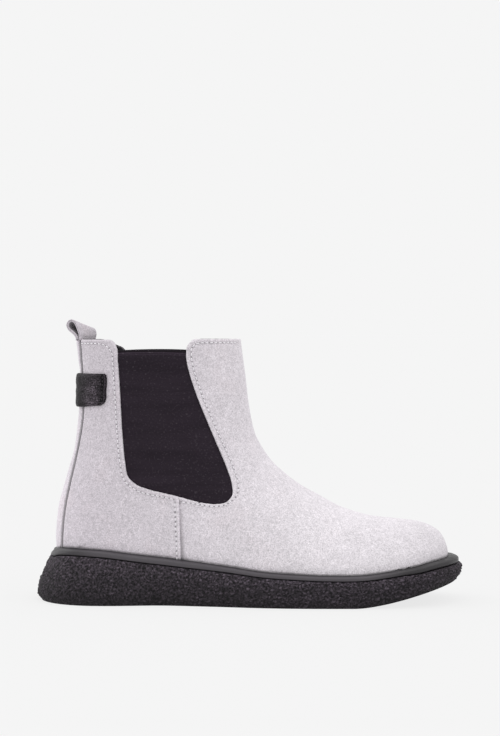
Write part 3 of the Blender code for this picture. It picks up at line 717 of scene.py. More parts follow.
def quarter_rows(side):
    """Stitch rows of a quarter in the side view: round its top and gore edge, and down the side seam."""
    rear = beside(WINDOW_REAR, STITCH_INSET - 0.8 * smooth(WINDOW_REAR[:, 0], -75.0, -50.0))
    rear = rear[(rear[:, 1] < (165.3 if side < 0 else 160.0))]
    rear = rear[rear[:, 0] < seam_x(rear[:, 1]) - SEAM_INSET - 0.4]
    top = BACK_ROWS[0] - TOP_INSET
    corner = [(-113.0, top + 0.1), (-105.0, top + 0.2), (-98.5, top - 0.1), (-95.0, top - 1.0),
              (-92.2, top - 3.1)]
    if side > 0:
        corner = [(-113.0, top + 0.1), (-106.0, top - 0.2), (-98.0, top - 2.2), (-93.4, top - 4.9)]
    z = np.linspace(rear[-1, 1] - 1.6, 28.0, 9)
    down = np.column_stack([seam_x(z) - SEAM_INSET, z])
    return [np.vstack([stroke([*corner, tuple(rear[0])]), rear[1:], [down[0]]]), down]


def vamp_rows():
    """Stitch rows of the vamp in the side view: along the gore window and the top edge."""
    height = WINDOW_FORE[:, 1]
    inset = 1.5 + 2.5 * smooth(height, 68.5, 78.0) - 0.7 * smooth(height, 90.0, 120.0)
    inset = inset + 0.9 * (1.0 - smooth(WINDOW_FORE[:, 0], -42.0, -30.0)) * (height < 90.0)
    line = beside(WINDOW_FORE, inset)
    line = line[(line[:, 1] < 164.3) & (line[:, 0] > SEAM_X[0] + 0.8)]
    top = RIDGE[0][1] - TOP_INSET
    corner = [tuple(line[-1]), (-37.4, 168.4), (-36.0, 170.8), (-33.0, 172.2), (-28.0, top - 0.1),
              (-18.0, top), (-8.4, top)]
    return [np.vstack([line[:-1], stroke(corner)])]


def stitch_path(row, side):
    """A stitch row on one side of the boot: places and normals."""
    return on_surface(row[:, 0], row[:, 1], side)


# ---------------------------------------------------------------- stitches

def stitch_marks(paths):
    """Needle holes along paths."""
    holes = []
    for places, _normals in paths:
        length = arc(places)
        holes.append(at_length(places, length, np.arange(STITCH_START, length[-1], STITCH_PITCH)))
    return np.vstack(holes)


def make_stitches(name, paths, finish, lift=STITCH_LIFT, radius=THREAD_RADIUS, pitch=STITCH_PITCH,
                  length=STITCH_LENGTH):
    """One rounded thread piece for each stitch, its ends sunk into the needle holes."""
    along = np.array([0.0, 0.06, 0.2, 0.4, 0.6, 0.8, 0.94, 1.0])
    girth = np.array([0.25, 0.7, 0.95, 1.0, 1.0, 0.95, 0.7, 0.25]) * radius
    height = np.array([-0.45, -0.28, 0.02, 0.16, 0.16, 0.02, -0.28, -0.45])
    points, faces = [], []
    for places, normals in paths:
        total = arc(places)
        start = np.arange(STITCH_START + (pitch - length) / 2, total[-1] - length, pitch)
        for number, at in enumerate(start):
            wobble = 0.12 * math.sin(number * 2.4)
            spine, up = (at_length(line, total, at + along * length) for line in (places, normals))
            across = np.cross(unit(np.gradient(spine, axis=0)), up)
            spine = spine + up * (lift + height)[:, None] + across * (wobble * (along - 0.5))[:, None]
            add_tube(points, faces, spine, across, up, girth[:, None, None], 6)
    return make_mesh(name, np.vstack(points), faces, finish)


# ---------------------------------------------------------------- suede panels

def edge_round(edge, radius=EDGE_RADIUS):
    """How far a rounded edge lies under the face, by distance from the edge."""
    t = np.clip(edge, 0.0, radius)
    return np.sqrt(radius ** 2 - (radius - t) ** 2) - radius


def suede_relief(places):
    """Soft unevenness of the hide: slow dents and a fine nap."""
    slow = 0.16 * noise(places, 26.0, 1) + 0.07 * noise(places, 9.0, 2)
    nap = 0.022 * noise(places, 1.7, 3)
    return slow + nap


def rand_shade(places):
    """Painted contact shadow on the suede where it meets the rand, and a slight darkening over the 6 mm
    above it.
    """
    over = places[:, 2] - rand_top(places[:, 0])
    ragged = 0.25 * noise(places, 1.3, 8)
    return 1.0 - 0.62 * (1.0 - smooth(over + ragged, 0.1, 1.1)) - 0.06 * (1.0 - smooth(over, 0.0, 6.0))


def suede_panel(name, region, outline, paths, finish, shape, edges, shade=None):
    """A suede panel with rounded edges, needle holes and a stitch groove.

    shape(places, edge) adds to its height; edges(places) says where a border shows as a cut edge;
    shade(places) multiplies its tone: a paler hide with a painted shadow on the vamp, painted light on the
    backstay.
    """
    sheet = region.cut(outline, rough=EDGE_ROUGHNESS)
    if paths:
        to_row = nearest(np.vstack([resampled(places, 0.5) for places, _normals in paths]))
        for reach, longest in ROW_REFINED:
            sheet.refine(lambda places, reach=reach: to_row(places) < reach, longest, outline)
        to_hole = nearest(stitch_marks(paths))
    places = sheet.places
    shown = edges(places)
    offset = edge_round(sheet.edge) * shown + suede_relief(places) + shape(places, sheet.edge)
    # Tone: painted shadow along the rand, times shade(), which holds the vamp's paler hide and painted
    # shadow and the backstay's painted light.
    tone = rand_shade(places) * (1.0 if shade is None else shade(places))
    # A lighter band inside a shown cut edge, partly the raw edge's own colour and partly painted
    # highlight, and painted shade right at the edge.
    tone = tone + shown * (0.10 * bump(sheet.edge, 0.35, 0.45) - 0.16 * bump(sheet.edge, 0.0, 0.16))
    offset = offset + 0.12 * shown * bump(sheet.edge, 1.2, 0.8)
    if paths:
        row, hole = to_row(places), to_hole(places)
        offset = offset - ROW_DEPTH * bump(row, 0.0, ROW_WIDTH) - HOLE_DEPTH * bump(hole, 0.0, HOLE_WIDTH)
        # Painted shade in the needle holes, and faintly along the stitch groove.
        tone = tone * (1.0 - 0.62 * bump(hole, 0.0, 0.40)) * (1.0 - 0.05 * bump(row, 0.0, 0.8))
    points, faces, tone = skirted(sheet, offset, SUEDE_DEPTH, tone)
    return weld(make_mesh(name, points, faces, finish, tone))


def bend_with_shaft(obj):
    """A piece at the back of the upper, with its placing baked into its points."""
    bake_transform(obj)
    return obj


def stretch_gore(obj):
    """A gore, with its placing baked into its points."""
    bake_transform(obj)
    return obj


def make_vamp(surface, finish):
    paths = [stitch_path(row, side) for row in vamp_rows() for side in (-1, 1)]
    region = surface.part((surface.places[surface.tris][:, :, 0] > -60.0).any(1))

    def shape(places, _edge):
        behind = places[:, 0] - seam_x(places[:, 2])
        low = 1.0 - smooth(places[:, 2], 66.5, 70.5)
        return -1.0 * low * (1.0 - smooth(behind, -0.5, 5.0))

    def edges(places):
        return smooth(places[:, 2], 60.0, 66.0) * smooth(places[:, 0], -48.0, -45.0)

    def shade(places):
        """The hide of the vamp is paler, with a shadow where it goes under the quarters."""
        behind = places[:, 0] - seam_x(places[:, 2])
        low = 1.0 - smooth(places[:, 2], 67.0, 71.0)
        reach = 0.65 + 0.6 * (1.0 - smooth(places[:, 2], 26.0, 64.0))
        return VAMP_SHADE * (1.0 - 0.6 * low * bump(behind / reach, 0.2, 1.0))

    vamp = suede_panel("vamp_suede", region, vamp_outline(), paths, finish["suede"], shape, edges, shade)
    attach(vamp, "root")
    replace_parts(vamp, "vamp")
    stitches = make_stitches("vamp_stitches", paths, finish["thread"])
    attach(stitches, "root")


def make_quarters(surface, finish):
    for name, side in SIDES:
        outline = quarter_outline(side)
        middle = surface.uv[surface.tris][:, :, 1].mean(1)
        near = (surface.places[surface.tris][:, :, 0] < -38.0).any(1)
        region = surface.part((middle * side > 0) & near)
        paths = [stitch_path(row, side) for row in quarter_rows(side)]

        def shape(places, _edge):
            ahead = places[:, 0] - seam_x(places[:, 2])
            low = 1.0 - smooth(places[:, 2], 68.0, 76.0)
            return 0.5 * low * smooth(ahead, -9.0, -1.0)

        panel = suede_panel(f"quarter_{name}_suede", region, outline, paths, finish["suede"], shape,
                            lambda places: np.ones(len(places)))
        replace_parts(bend_with_shaft(panel), f"quarter_{name}", f"quarter_{name}_top")
        stitches = make_stitches(f"quarter_{name}_stitches", paths, finish["thread"])
        bend_with_shaft(stitches)


def make_backstay(surface, finish):
    region = surface.part((surface.places[surface.tris][:, :, 0] < -105.0).any(1))

    def shape(places, edge):
        strap = 0.45 * smooth(places[:, 2], 154.0, 160.0)
        return -0.2 + 0.2 * smooth(edge, 0.0, 3.0) + strap

    # The backstay's suede gets painted light through its tone factor.
    panel = suede_panel("backstay_suede", region, backstay_outline(), None, finish["suede"], shape,
                        lambda places: np.ones(len(places)), lambda _places: BACKSTAY_PAINTED_LIGHT)
    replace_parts(bend_with_shaft(panel), "backstay", "backstay_top")
    line = BACK_EDGE[(BACK_EDGE[:, 1] < 172.6) & (BACK_EDGE[:, 1] > 30.0)]
    points, faces = [], []
    for side in (-1, 1):
        places, normals = stitch_path(resampled(line, 0.8), side)
        spine = places - normals * PIPING_DEPTH
        across = np.cross(unit(np.gradient(spine, axis=0)), normals)
        add_tube(points, faces, spine, across, normals, PIPING_RADIUS, 10)
    piping = make_mesh("backstay_piping", np.vstack(points), faces, finish["piping"])
    bend_with_shaft(piping)


# ---------------------------------------------------------------- elastic gores

def make_gores(finish):
    """Ribbed elastic behind the window, with a rolled selvedge along its top."""
    rear, fore = WINDOW_REAR[::-1], WINDOW_FORE[np.argmin(WINDOW_FORE[:, 1]):]
    rear, fore = rear[rear[:, 1] > GORE_TURN_Z], fore[fore[:, 1] > GORE_FORE_Z]
    z = np.concatenate([np.arange(GORE_FOOT, GORE_FINE_Z, 0.24), np.arange(GORE_FINE_Z, GORE_TOP, 0.12),
                        [GORE_TOP]])
    across = np.linspace(0.0, 1.0, 44)
    columns = len(across)
    start = np.interp(z, rear[:, 1], rear[:, 0]) - GORE_MARGIN
    end = np.interp(z, fore[:, 1], fore[:, 0]) + GORE_MARGIN
    start = np.where(z < GORE_TURN_Z, start[np.argmin(np.abs(z - GORE_TURN_Z))], start)
    x = start[:, None] + across * (end - start)[:, None]
    arch = 0.9 * (4 * across * (1 - across))[None, :] * smooth(z, 120.0, GORE_TOP)[:, None] - 0.65
    height = z[:, None] + arch
    level = np.repeat(z, columns)
    down = GORE_TOP - level
    wave = np.cos(level * 2 * np.pi / RIB_PITCH)
    rim = np.clip(1 - down / RIM, 0, 1) ** 2
    relief = 0.07 * wave * smooth(down, 3.2, 4.6) + 0.22 * (1 - smooth(down, 0.9, 1.5))
    cords = 0.16 * bump(down, 2.0, 0.32) + 0.16 * bump(down, 3.1, 0.32)
    tone = 1.0 + 1.1 * bump(down, 1.9, 0.35) + 0.7 * bump(down, 3.1, 0.3) - 0.45 * (down < 1.3)
    inner = GORE_INNER - 0.05 * wave + 0.45 * rim
    quads = grid_quads(len(z), columns)
    last = (len(z) - 1) * columns + np.arange(columns - 1)
    lid = np.column_stack([last, last + 1, last + 1 + x.size, last + x.size])
    for name, side in SIDES:
        places, normals = on_surface(x.ravel(), height.ravel(), side)
        outer = GORE_OUTER + relief + cords + 0.05 * noise(places, (4.0, 4.0, 14.0), 4) - 0.55 * rim
        points = np.vstack([places + normals * outer[:, None], places + normals * inner[:, None]])
        faces = np.vstack([quads, quads[:, ::-1] + x.size, lid])
        if side > 0:
            faces = faces[:, ::-1]
        gore = make_mesh(f"gore_{name}_elastic", points, faces, finish["elastic"],
                         np.concatenate([tone, tone]))
        stretch_gore(gore)
        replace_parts(gore, f"gore_{name}")


# ---------------------------------------------------------------- linings and reinforcements

def make_layers(surface, finish):
    """Lining, heel counter and toe puff between and behind the panels."""
    line = np.vstack([WINDOW_REAR_MEDIAL, WINDOW_FORE[1:]])
    line = widened(line, -3.0 + 4.2 * smooth(line[:, 1], 152.0, 163.0))
    window = np.vstack([line, [(line[-1, 0], FAR_HIGH), (line[0, 0], FAR_HIGH)]])
    middle = SEAM_X[0] - 4.0
    holed = surface.cut(window, levels=(0.0,), far=4.0, sign=-1.0)
    for name, first, last in (("vamp_lining", middle, FAR_FRONT), ("quarter_lining", FAR_BACK, middle)):
        box = np.array([(first, FAR_LOW), (last, FAR_LOW), (last, FAR_HIGH), (first, FAR_HIGH)])
        sheet = holed.cut(below_top(box), levels=(0.0,), far=4.0)
        x, z = sheet.places[:, 0], sheet.places[:, 2]
        down = top_line(x) - z
        # The lining comes up close behind the suede along the top edge, away from the loop and window.
        close = (1.0 - smooth(down, 1.5, 9.0)) * smooth(x, -108.0, -103.0)
        close = close * smooth(-outline_distance(sheet.places, sheet.normals, window), 4.0, 7.0)
        outer = LINING_OUTER + 1.75 * close - 0.35 * bump(down, 0.0, 0.8)
        points, faces = shell(sheet, outer, LINING_INNER + 1.2 * close)
        layer = weld(make_mesh(name + "_textile", points, faces, finish["textile"]))
        if name == "vamp_lining":
            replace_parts(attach(layer, "root"), "vamp_lining")
        else:
            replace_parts(bend_with_shaft(layer), "quarter_lining", "quarter_lining_top")
    for name, line, closing in (("heel_counter", HEEL_COUNTER, [(-140.0, 10.0)]),
                                ("toe_puff", TOE_PUFF, [(140.0, 10.0), (140.0, 60.0)])):
        sheet = surface.cut(np.vstack([stroke(line), closing]), levels=(0.0,), far=4.0)
        points, faces = shell(sheet, BOARD_OUTER, BOARD_INNER)
        layer = weld(make_mesh(name + "_board", points, faces, finish["board"]))
        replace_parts(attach(layer, "root"), name)


# ---------------------------------------------------------------- heel tab

def make_heel_tab(finish):
    """A padded patch of grained leather wrapped round the back of the shaft."""
    low, high = HEEL_TAB_Z
    z = low + (high - low) * np.linspace(0.0, 1.0, 76)
    v = np.linspace(-1.0, 1.0, 231)
    rows, columns = len(z), len(v)
    back = back_x(z)
    share = 1.0 - np.cos(np.pi / 2 * np.abs(v))
    x = back[:, None] + share * (through(HEEL_TAB_END)(z) - back)[:, None]
    level = np.repeat(z, columns)
    height = level + 1.5 * smooth(x.ravel(), -117.0, -97.0) * (high - level) / (high - low)
    side = np.tile(np.where(v > 0, 1, -1), rows)
    read = np.maximum(x, back[:, None] + 0.4).ravel()
    width = np.where(np.tile(np.abs(v), rows) < 1e-9, 0.0, np.nan)
    places, normals = on_surface(x.ravel(), height, side, read, height, width)
    grid, grid_normals = places.reshape(rows, columns, 3), normals.reshape(rows, columns, 3)
    length = np.array([arc(row) for row in grid])
    to_end = np.minimum(length, length[:, -1:] - length).ravel()
    edge = np.minimum(to_end, np.minimum(level - low, high - level))

    near, second = cells(places, TAB_GRAIN, 31)
    grain = 0.16 * np.clip((second - near) * 2.2, 0, 1) + 0.10 * noise(places, 3.4, 32)
    fold = 0.14 * noise(places, (9.0, 9.0, 2.8), 33)
    puff = 0.5 * smooth(edge, 0.3, 3.0)
    row = bump(to_end, TAB_STITCH_INSET, 0.5)
    back_fold = 0.6 * smooth(-places[:, 0], 108.0, 115.0)
    offset = TAB_STAND_OFF + back_fold + edge_round(edge, TAB_EDGE_RADIUS) + puff
    offset = offset + (grain + fold) * smooth(edge, 0.2, 1.2) - 0.28 * row
    # Tab tone: a painted highlight across the middle of each side, lighter grain cells, painted shade
    # along the stitch grooves, and a painted highlight on the rim at the ends.
    painted_shading = bump(places[:, 0], -103.5, 6.0) * (0.85 + 0.5 * noise(places, (5.0, 5.0, 2.0), 34))
    tone = (0.12 + 1.15 * painted_shading) * (0.5 + 0.9 * np.clip((second - near) * 1.6, 0, 1)) * (1.0 - 0.75 * row)
    tone = tone * (1.0 - 0.6 * bump(to_end, TAB_STITCH_INSET, 0.9)) + 0.5 * bump(to_end, 0.8, 0.5)

    index = np.arange(rows * columns).reshape(rows, columns)
    ring = np.concatenate([index[0], index[1:, -1], index[-1, -2::-1], index[-2:0:-1, 0]])
    under = len(places) + np.arange(len(ring))
    walls = np.column_stack([ring, np.roll(ring, -1), np.roll(under, -1), under])
    quads = grid_quads(rows, columns)[:, [0, 3, 2, 1]]
    points = np.vstack([places + normals * offset[:, None], places[ring] + normals[ring] * 0.05])
    tab = make_mesh("heel_tab_leather", points, np.vstack([quads, walls]), finish["leather"],
                    np.concatenate([tone, np.full(len(ring), 0.6)]))
    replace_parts(bend_with_shaft(tab), "heel_tab")

    paths = []
    for at in (np.full(rows, TAB_STITCH_INSET), length[:, -1] - TAB_STITCH_INSET):
        paths.append(tuple(np.vstack([at_length(values[k], length[k], at[k]) for k in range(4, rows - 4)])
                           for values in (grid, grid_normals)))
    stitches = make_stitches("heel_tab_stitches", paths, finish["black_thread"], **TAB_STITCH)
    bend_with_shaft(stitches)


# ---------------------------------------------------------------- pull loop

def make_pull_loop(finish):
    """A band of two suede plies folded over; both plies show on its cut sides."""
    along = unit(np.array(LOOP_AXIS))
    across = np.array([along[1], -along[0]])
    deep, ends = np.linspace(-PLY, PLY, 9), np.linspace(-1.0, 1.0, 31)
    # The band's cross-section, as (share of the half width, height in the band) all the way round.
    section = [(w, PLY) for w in ends] + [(1.0, d) for d in deep[::-1][1:-1]]
    section += [(w, -PLY) for w in ends[::-1]] + [(-1.0, d) for d in deep[1:-1]]
    curves = []
    for outline in (LOOP_NEAR, LOOP_FAR):
        line = resampled(stroke(outline, 0.2), 0.2)
        curves.append(at_length(line, np.linspace(0, 1, len(line)), np.linspace(0, 1, LOOP_STEPS)))
    points, tones = [], []
    for w, d in section:
        share = (w + 1.0) / 2.0
        line = curves[0] * (1 - share) + curves[1] * share
        inward = right_of(line)
        side = abs(w) > 0.999
        bulge = 0.30 * abs(math.sin(math.pi * d / PLY)) ** 0.5 if side and abs(d) < PLY else 0.0
        reach = w * (LOOP_HALF_WIDTH - 0.35) + (math.copysign(bulge + 0.05, w) if side else 0.0)
        line = line + inward * (PLY - d)
        foot = line[[0, -1]] - np.array([0.0, LOOP_SUNK])
        line = np.vstack([foot[:1], line, foot[1:]])
        place = np.array(LOOP_PIVOT[:2]) + along * reach
        points.append(np.column_stack([place + across * line[:, :1], LOOP_PIVOT[2] + line[:, 1:]]))
        # The band's inner face is darker: painted shade inside the loop.
        inside = 0.42 if d < -0.5 * PLY and not side else 1.0
        tones.append(np.full(len(line), 0.45 if side and abs(d) < 0.05 else inside))
    points, tones = np.array(points), np.array(tones)
    rings, steps = points.shape[:2]
    points[:, :, 2] += 0.10 * noise(points.reshape(-1, 3), 5.0, 51).reshape(rings, steps)
    index = np.arange(rings * steps).reshape(rings, steps)
    ahead = np.roll(index, -1, axis=0)
    band = np.stack([index[:, :-1], ahead[:, :-1], ahead[:, 1:], index[:, 1:]], axis=-1).reshape(-1, 4)
    faces = [*band.tolist(), index[::-1, 0].tolist(), index[:, -1].tolist()]
    loop = make_mesh("pull_loop_suede", points.reshape(-1, 3), faces, finish["suede"], tones.ravel())
    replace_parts(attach(loop, "loop"), "pull_loop")


# ---------------------------------------------------------------- sole

def rand_lift(x):
    """How much higher the band's lower edge runs under the foot's front."""
    return 1.3 * smooth(x, -60.0, 10.0) * (1.0 - smooth(x, 98.0, 118.0))


def by_place(x, values):
    """A value along the boot from its figures for the heel, the ball and the toe."""
    heel = 1.0 - smooth(x, -95.0, -45.0)
    toe = smooth(x, 78.0, 128.0)
    return heel * values["heel"] + toe * values["toe"] + (1.0 - heel - toe) * values["ball"]


def plan_loop(spacing):
    """The upper's outline at the sole's top, evenly spaced, with outward normals."""
    count = 2400
    angle = np.arange(count) * 2.0 * np.pi / count
    back = back_x(sole_top(HEEL_BACK))
    tip_row = np.linspace(LAST_ROW - 1, LAST_ROW, 41)
    tip = np.interp(sole_top(TOE_TIP), ridge_z(tip_row)[::-1], ridge_x(tip_row)[::-1])
    x = (back + tip) / 2.0 - (tip - back) / 2.0 * np.cos(angle)
    side = np.where(angle <= np.pi, -1, 1)
    width = half_width(x, sole_top(x), side)
    width[[0, count // 2]] = 0.0
    loop = np.column_stack([x, centre(x) + side * width])
    closed = resampled(np.vstack([loop, loop[:1]]), spacing)[:-1]
    way = unit(np.roll(closed, -2, axis=0) - np.roll(closed, 2, axis=0))
    return closed, np.column_stack([way[:, 1], -way[:, 0]])


def crumble(points, strength=1.0):
    """The relief of crepe rubber: torn crumbs with pits between them."""
    warped = points + 0.8 * np.column_stack([noise(points, 1.9, salt) for salt in (61, 62, 63)])
    near, second = cells(warped, CREPE_CRUMB, 64)
    crumbs = np.clip((second - near) * 1.7, 0.0, 1.0) * (0.8 + 0.2 * noise(points, 1.2, 67))
    relief = 1.05 * crumbs - 0.65 + 0.18 * noise(points, 1.0, 65) + 0.16 * noise(points, 7.0, 66)
    return strength * relief, crumbs


def crepe_wall():
    """The torn side wall: stacked closed rings of points from the tread up, and their tones."""
    loop, normal = plan_loop(CREPE_SPACING)
    shares = np.concatenate([np.linspace(0.0, 0.96, 50), [0.985, 1.0]])
    profile = {place: through(list(zip(SOLE_LEVELS, out))) for place, out in SOLE_OUT.items()}
    rings = []
    for share in shares:
        out = by_place(loop[:, 0], {place: curve(share) for place, curve in profile.items()})
        place = loop + normal * (out - 0.5 * smooth(share, 0.95, 1.0))[:, None]
        low, high = tread(place[:, 0]), sole_top(place[:, 0]) + rand_lift(place[:, 0])
        rings.append(np.column_stack([place, low + share * (high - low)]))
    inner = loop + normal * 0.5
    rings.append(np.column_stack([inner, sole_top(inner[:, 0]) + rand_lift(inner[:, 0])]))
    rings = np.array(rings)
    levels, count = rings.shape[:2]
    way = np.roll(rings, -1, axis=1) - np.roll(rings, 1, axis=1)
    outward = unit(np.cross(way, np.gradient(rings, axis=0)))
    relief, crumbs = crumble(rings.reshape(-1, 3))
    fade = np.ones((levels, count))
    fade[0], fade[-1], fade[-2], fade[-3] = 0.3, 0.0, 0.25, 0.6
    wall = rings + outward * (relief.reshape(levels, count) * fade - 0.15)[..., None]
    wall[..., 2] = np.maximum(wall[..., 2], tread(wall[..., 0]) + 0.02)
    # Painted shading: the wall is darker towards the tread and lighter towards the top; its tone is also
    # darker in the pits between crumbs, painted shade.
    painted_shading = 0.5 + 0.4 * smooth(shares, 0.0, 0.4) + 0.7 * smooth(shares, 0.5, 1.0)
    return wall, (0.35 + 1.0 * crumbs.reshape(levels, count)) * np.append(painted_shading, 0.5)[:, None]


def crepe_tread(foot):
    """The tread inside the wall's lowest ring: rows of points across it, and their tones."""
    count = len(foot)
    rungs = np.arange(1, count // 2, 3)
    across = np.linspace(0.0, 1.0, TREAD_COLUMNS)
    left, right = foot[rungs], foot[(count - rungs) % count]
    sheet = left[:, None] + across[None, :, None] * (right - left)[:, None]
    sheet[..., 2] = tread(sheet[..., 0])
    points = sheet.reshape(-1, 3)
    relief, crumbs = crumble(points * np.array([1.0, 1.0, 0.0]) + 40.0, 0.5)
    edge = np.tile(np.minimum(across, 1 - across), len(rungs))
    groove = tread_grooves(points[:, 0], points[:, 1])
    hollow = np.clip(0.45 - relief, 0.0, 0.8) * 0.6 + groove
    points[:, 2] += hollow * smooth(edge, 0.0, 0.03)
    # Painted shade in the pits between crumbs and in the grooves.
    return points, len(rungs), (0.6 + 0.5 * crumbs) * np.where(groove > 0.3, 0.7, 1)


def tread_grooves(x, y):
    """Shallow cross grooves under the ball and the heel."""
    wave = 2.5 * np.sin(y / 9.0)
    lines = bump(((x + wave + 500.0) % GROOVE_PITCH) - GROOVE_PITCH / 2, 0.0, 1.3)
    ball = bump(x, 55.0, 34.0) > 0.35
    return GROOVE_DEPTH * lines * (ball | (x < -62.0))


def make_outsole(finish):
    """Crepe outsole: torn side wall, smoother tread below, rubbed down by wear."""
    wall, wall_tone = crepe_wall()
    points, rungs, tone = crepe_tread(wall[0])
    faces = np.vstack([lofted(wall), grid_quads(rungs, TREAD_COLUMNS, wall[..., 0].size)])
    sole = make_mesh("outsole_crepe", np.vstack([wall.reshape(-1, 3), points]), faces, finish["crepe"],
                     np.concatenate([wall_tone.ravel(), tone]))
    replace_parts(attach(sole, "root"), "outsole")


def make_rand(finish):
    """The smooth rubber band round the foot, with a sloped top and a groove under it."""
    loop, normal = plan_loop(0.8)
    at_heel = smooth(-loop[:, 0], 112.0, 130.0)
    rings = []
    for share, add, height in RAND_SECTION:
        slope = smooth(height, 0.8, 3.3) * (1.0 - smooth(height, 3.7, 4.7))
        out = share * by_place(loop[:, 0], RAND_OUT) + add - 1.6 * slope * at_heel
        place = loop + normal * out[:, None]
        lift = GAP + rand_lift(place[:, 0])
        z = sole_top(place[:, 0]) + lift + height * (RAND_HEIGHT - lift) / RAND_HEIGHT
        rings.append(np.column_stack([place, z]))
    rings = np.array(rings)
    shape = rings.shape[:2]
    flat = rings.reshape(-1, 3)
    wave = (0.10 * noise(flat, (14.0, 14.0, 30.0), 71) + 0.05 * noise(flat, (3.5, 3.5, 30.0), 72))
    rings[..., 2] += wave.reshape(shape) * np.linspace(0.2, 1.0, len(RAND_SECTION))[:, None]
    x = rings[..., 0]
    crumbs = 1.5 * np.clip(noise(flat, 1.7, 73), 0, 1).reshape(shape)
    crumbs = crumbs * smooth(x, 90.0, 98.0) * (1.0 - smooth(x, 112.0, 120.0))
    rings[-4:-1, :, 2] += crumbs[-4:-1]
    # Painted shade in the groove under the band and in the gap along its top; the band is also darker
    # towards the toe and the heel.
    tone = np.ones(shape)
    tone[:4], tone[-5], tone[-4:] = 0.5, 0.6, 0.3
    tone = tone * (1.0 - (0.68 * smooth(x, 76.0, 110.0) + 0.62 * smooth(-x, 94.0, 124.0)))
    rand = make_mesh("rand_rubber_band", rings.reshape(-1, 3), lofted(rings), finish["rand"], tone.ravel())
    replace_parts(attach(rand, "root"), "rand")


def make_sock_liner(finish):
    """The insock: a thin woven sheet with a soft rim."""
    loop, normal = plan_loop(1.6)
    out = -INSOCK_EDGE - 2.2 * smooth(loop[:, 0], 100.0, 130.0) - 1.2 * smooth(-loop[:, 0], 105.0, 128.0)
    edge = loop + normal * out[:, None]
    middle = np.column_stack([np.clip(edge[:, 0], -95.0, 95.0), centre(edge[:, 0])])
    rings = []
    for share, height in ((0.0, 0.0), (0.02, 0.9), (0.06, 1.2),
                          *[(share, 1.2) for share in np.linspace(0.12, 0.98, 24)]):
        place = edge + share * (middle - edge)
        dent = 0.6 * share * bump(place[:, 0], -100.0, 30.0)
        rings.append(np.column_stack([place, sole_top(place[:, 0]) + INSOCK_RISE + height - dent]))
    rings = np.array(rings)
    liner = make_mesh("sock_liner_textile", rings.reshape(-1, 3), lofted(rings), finish["textile"])
    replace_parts(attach(liner, "root"), "sock_liner")


# ---------------------------------------------------------------- materials

class Finish:
    """Builds one procedural material; every texture reads the object's own coordinates in metres."""

    def __init__(self, name, roughness, specular=0.3, metallic=0.0):
        self.made = bpy.data.materials.new(name)
        self.made.use_nodes = True
        self.nodes, self.links = self.made.node_tree.nodes, self.made.node_tree.links
        self.shader = self.nodes["Principled BSDF"]
        self.shader.inputs["Roughness"].default_value = roughness
        self.shader.inputs["Specular IOR Level"].default_value = specular
        self.shader.inputs["Metallic"].default_value = metallic
        self.place = self.nodes.new("ShaderNodeTexCoord").outputs["Object"]

    def node(self, kind, source, socket, **values):
        """A new node with a link into one socket and values in others; _ stands for a space."""
        node = self.nodes.new("ShaderNode" + kind)
        self.links.new(source, node.inputs[socket])
        for name, value in values.items():
            node.inputs[name.replace("_", " ")].default_value = value
        return node

    def noise(self, size_mm, detail=3.0, rough=0.5, scale=None):
        place = self.place
        if scale:
            place = self.node("Mapping", place, "Vector", Scale=scale).outputs["Vector"]
        return self.node("TexNoise", place, "Vector", Scale=1000.0 / size_mm, Detail=detail,
                         Roughness=rough).outputs["Fac"]

    def wave(self, size_mm, direction):
        node = self.node("TexWave", self.place, "Vector", Scale=314.0 / size_mm, Distortion=0.6,
                         Detail_Scale=40.0)
        node.bands_direction = direction
        return node.outputs["Fac"]

    def range(self, value, low, high, out_low=0.0, out_high=1.0):
        return self.node("MapRange", value, "Value", From_Min=low, From_Max=high, To_Min=out_low,
                         To_Max=out_high).outputs["Result"]

    def axis(self, letter):
        return self.node("SeparateXYZ", self.place, "Vector").outputs[letter]

    def mix(self, factor, first, second, mode="MIX"):
        node = self.nodes.new("ShaderNodeMix")
        node.data_type = "RGBA"
        node.blend_type = mode
        for value, name in ((factor, "Factor_Float"), (first, "A_Color"), (second, "B_Color")):
            socket = next(s for s in node.inputs if s.identifier == name)
            if isinstance(value, (tuple, float)):
                socket.default_value = (*value, 1.0) if isinstance(value, tuple) else value
            else:
                self.links.new(value, socket)
        return next(s for s in node.outputs if s.identifier == "Result_Color")

    def times(self, colour, *factors):
        for factor in factors:
            colour = self.mix(1.0, colour, factor, "MULTIPLY")
        return colour

    def colour(self, value):
        self.links.new(value, self.shader.inputs["Base Color"])

    def toned(self, colour):
        """Sets the colour, multiplied by the mesh's tone values."""
        node = self.nodes.new("ShaderNodeAttribute")
        node.attribute_name = "tone"
        self.colour(self.times(colour, node.outputs["Fac"]))

    def rough(self, value):
        self.links.new(value, self.shader.inputs["Roughness"])

    def relief(self, *layers):
        """Bump from (height, strength, distance in mm) layers."""
        normal = None
        for height, strength, distance in layers:
            node = self.node("Bump", height, "Height", Strength=strength, Distance=distance * MM)
            if normal:
                self.links.new(normal, node.inputs["Normal"])
            normal = node.outputs["Normal"]
        self.links.new(normal, self.shader.inputs["Normal"])

    def sheen(self, weight, roughness, tint):
        for name, value in (("Weight", weight), ("Roughness", roughness), ("Tint", (*tint, 1.0))):
            self.shader.inputs["Sheen " + name].default_value = value


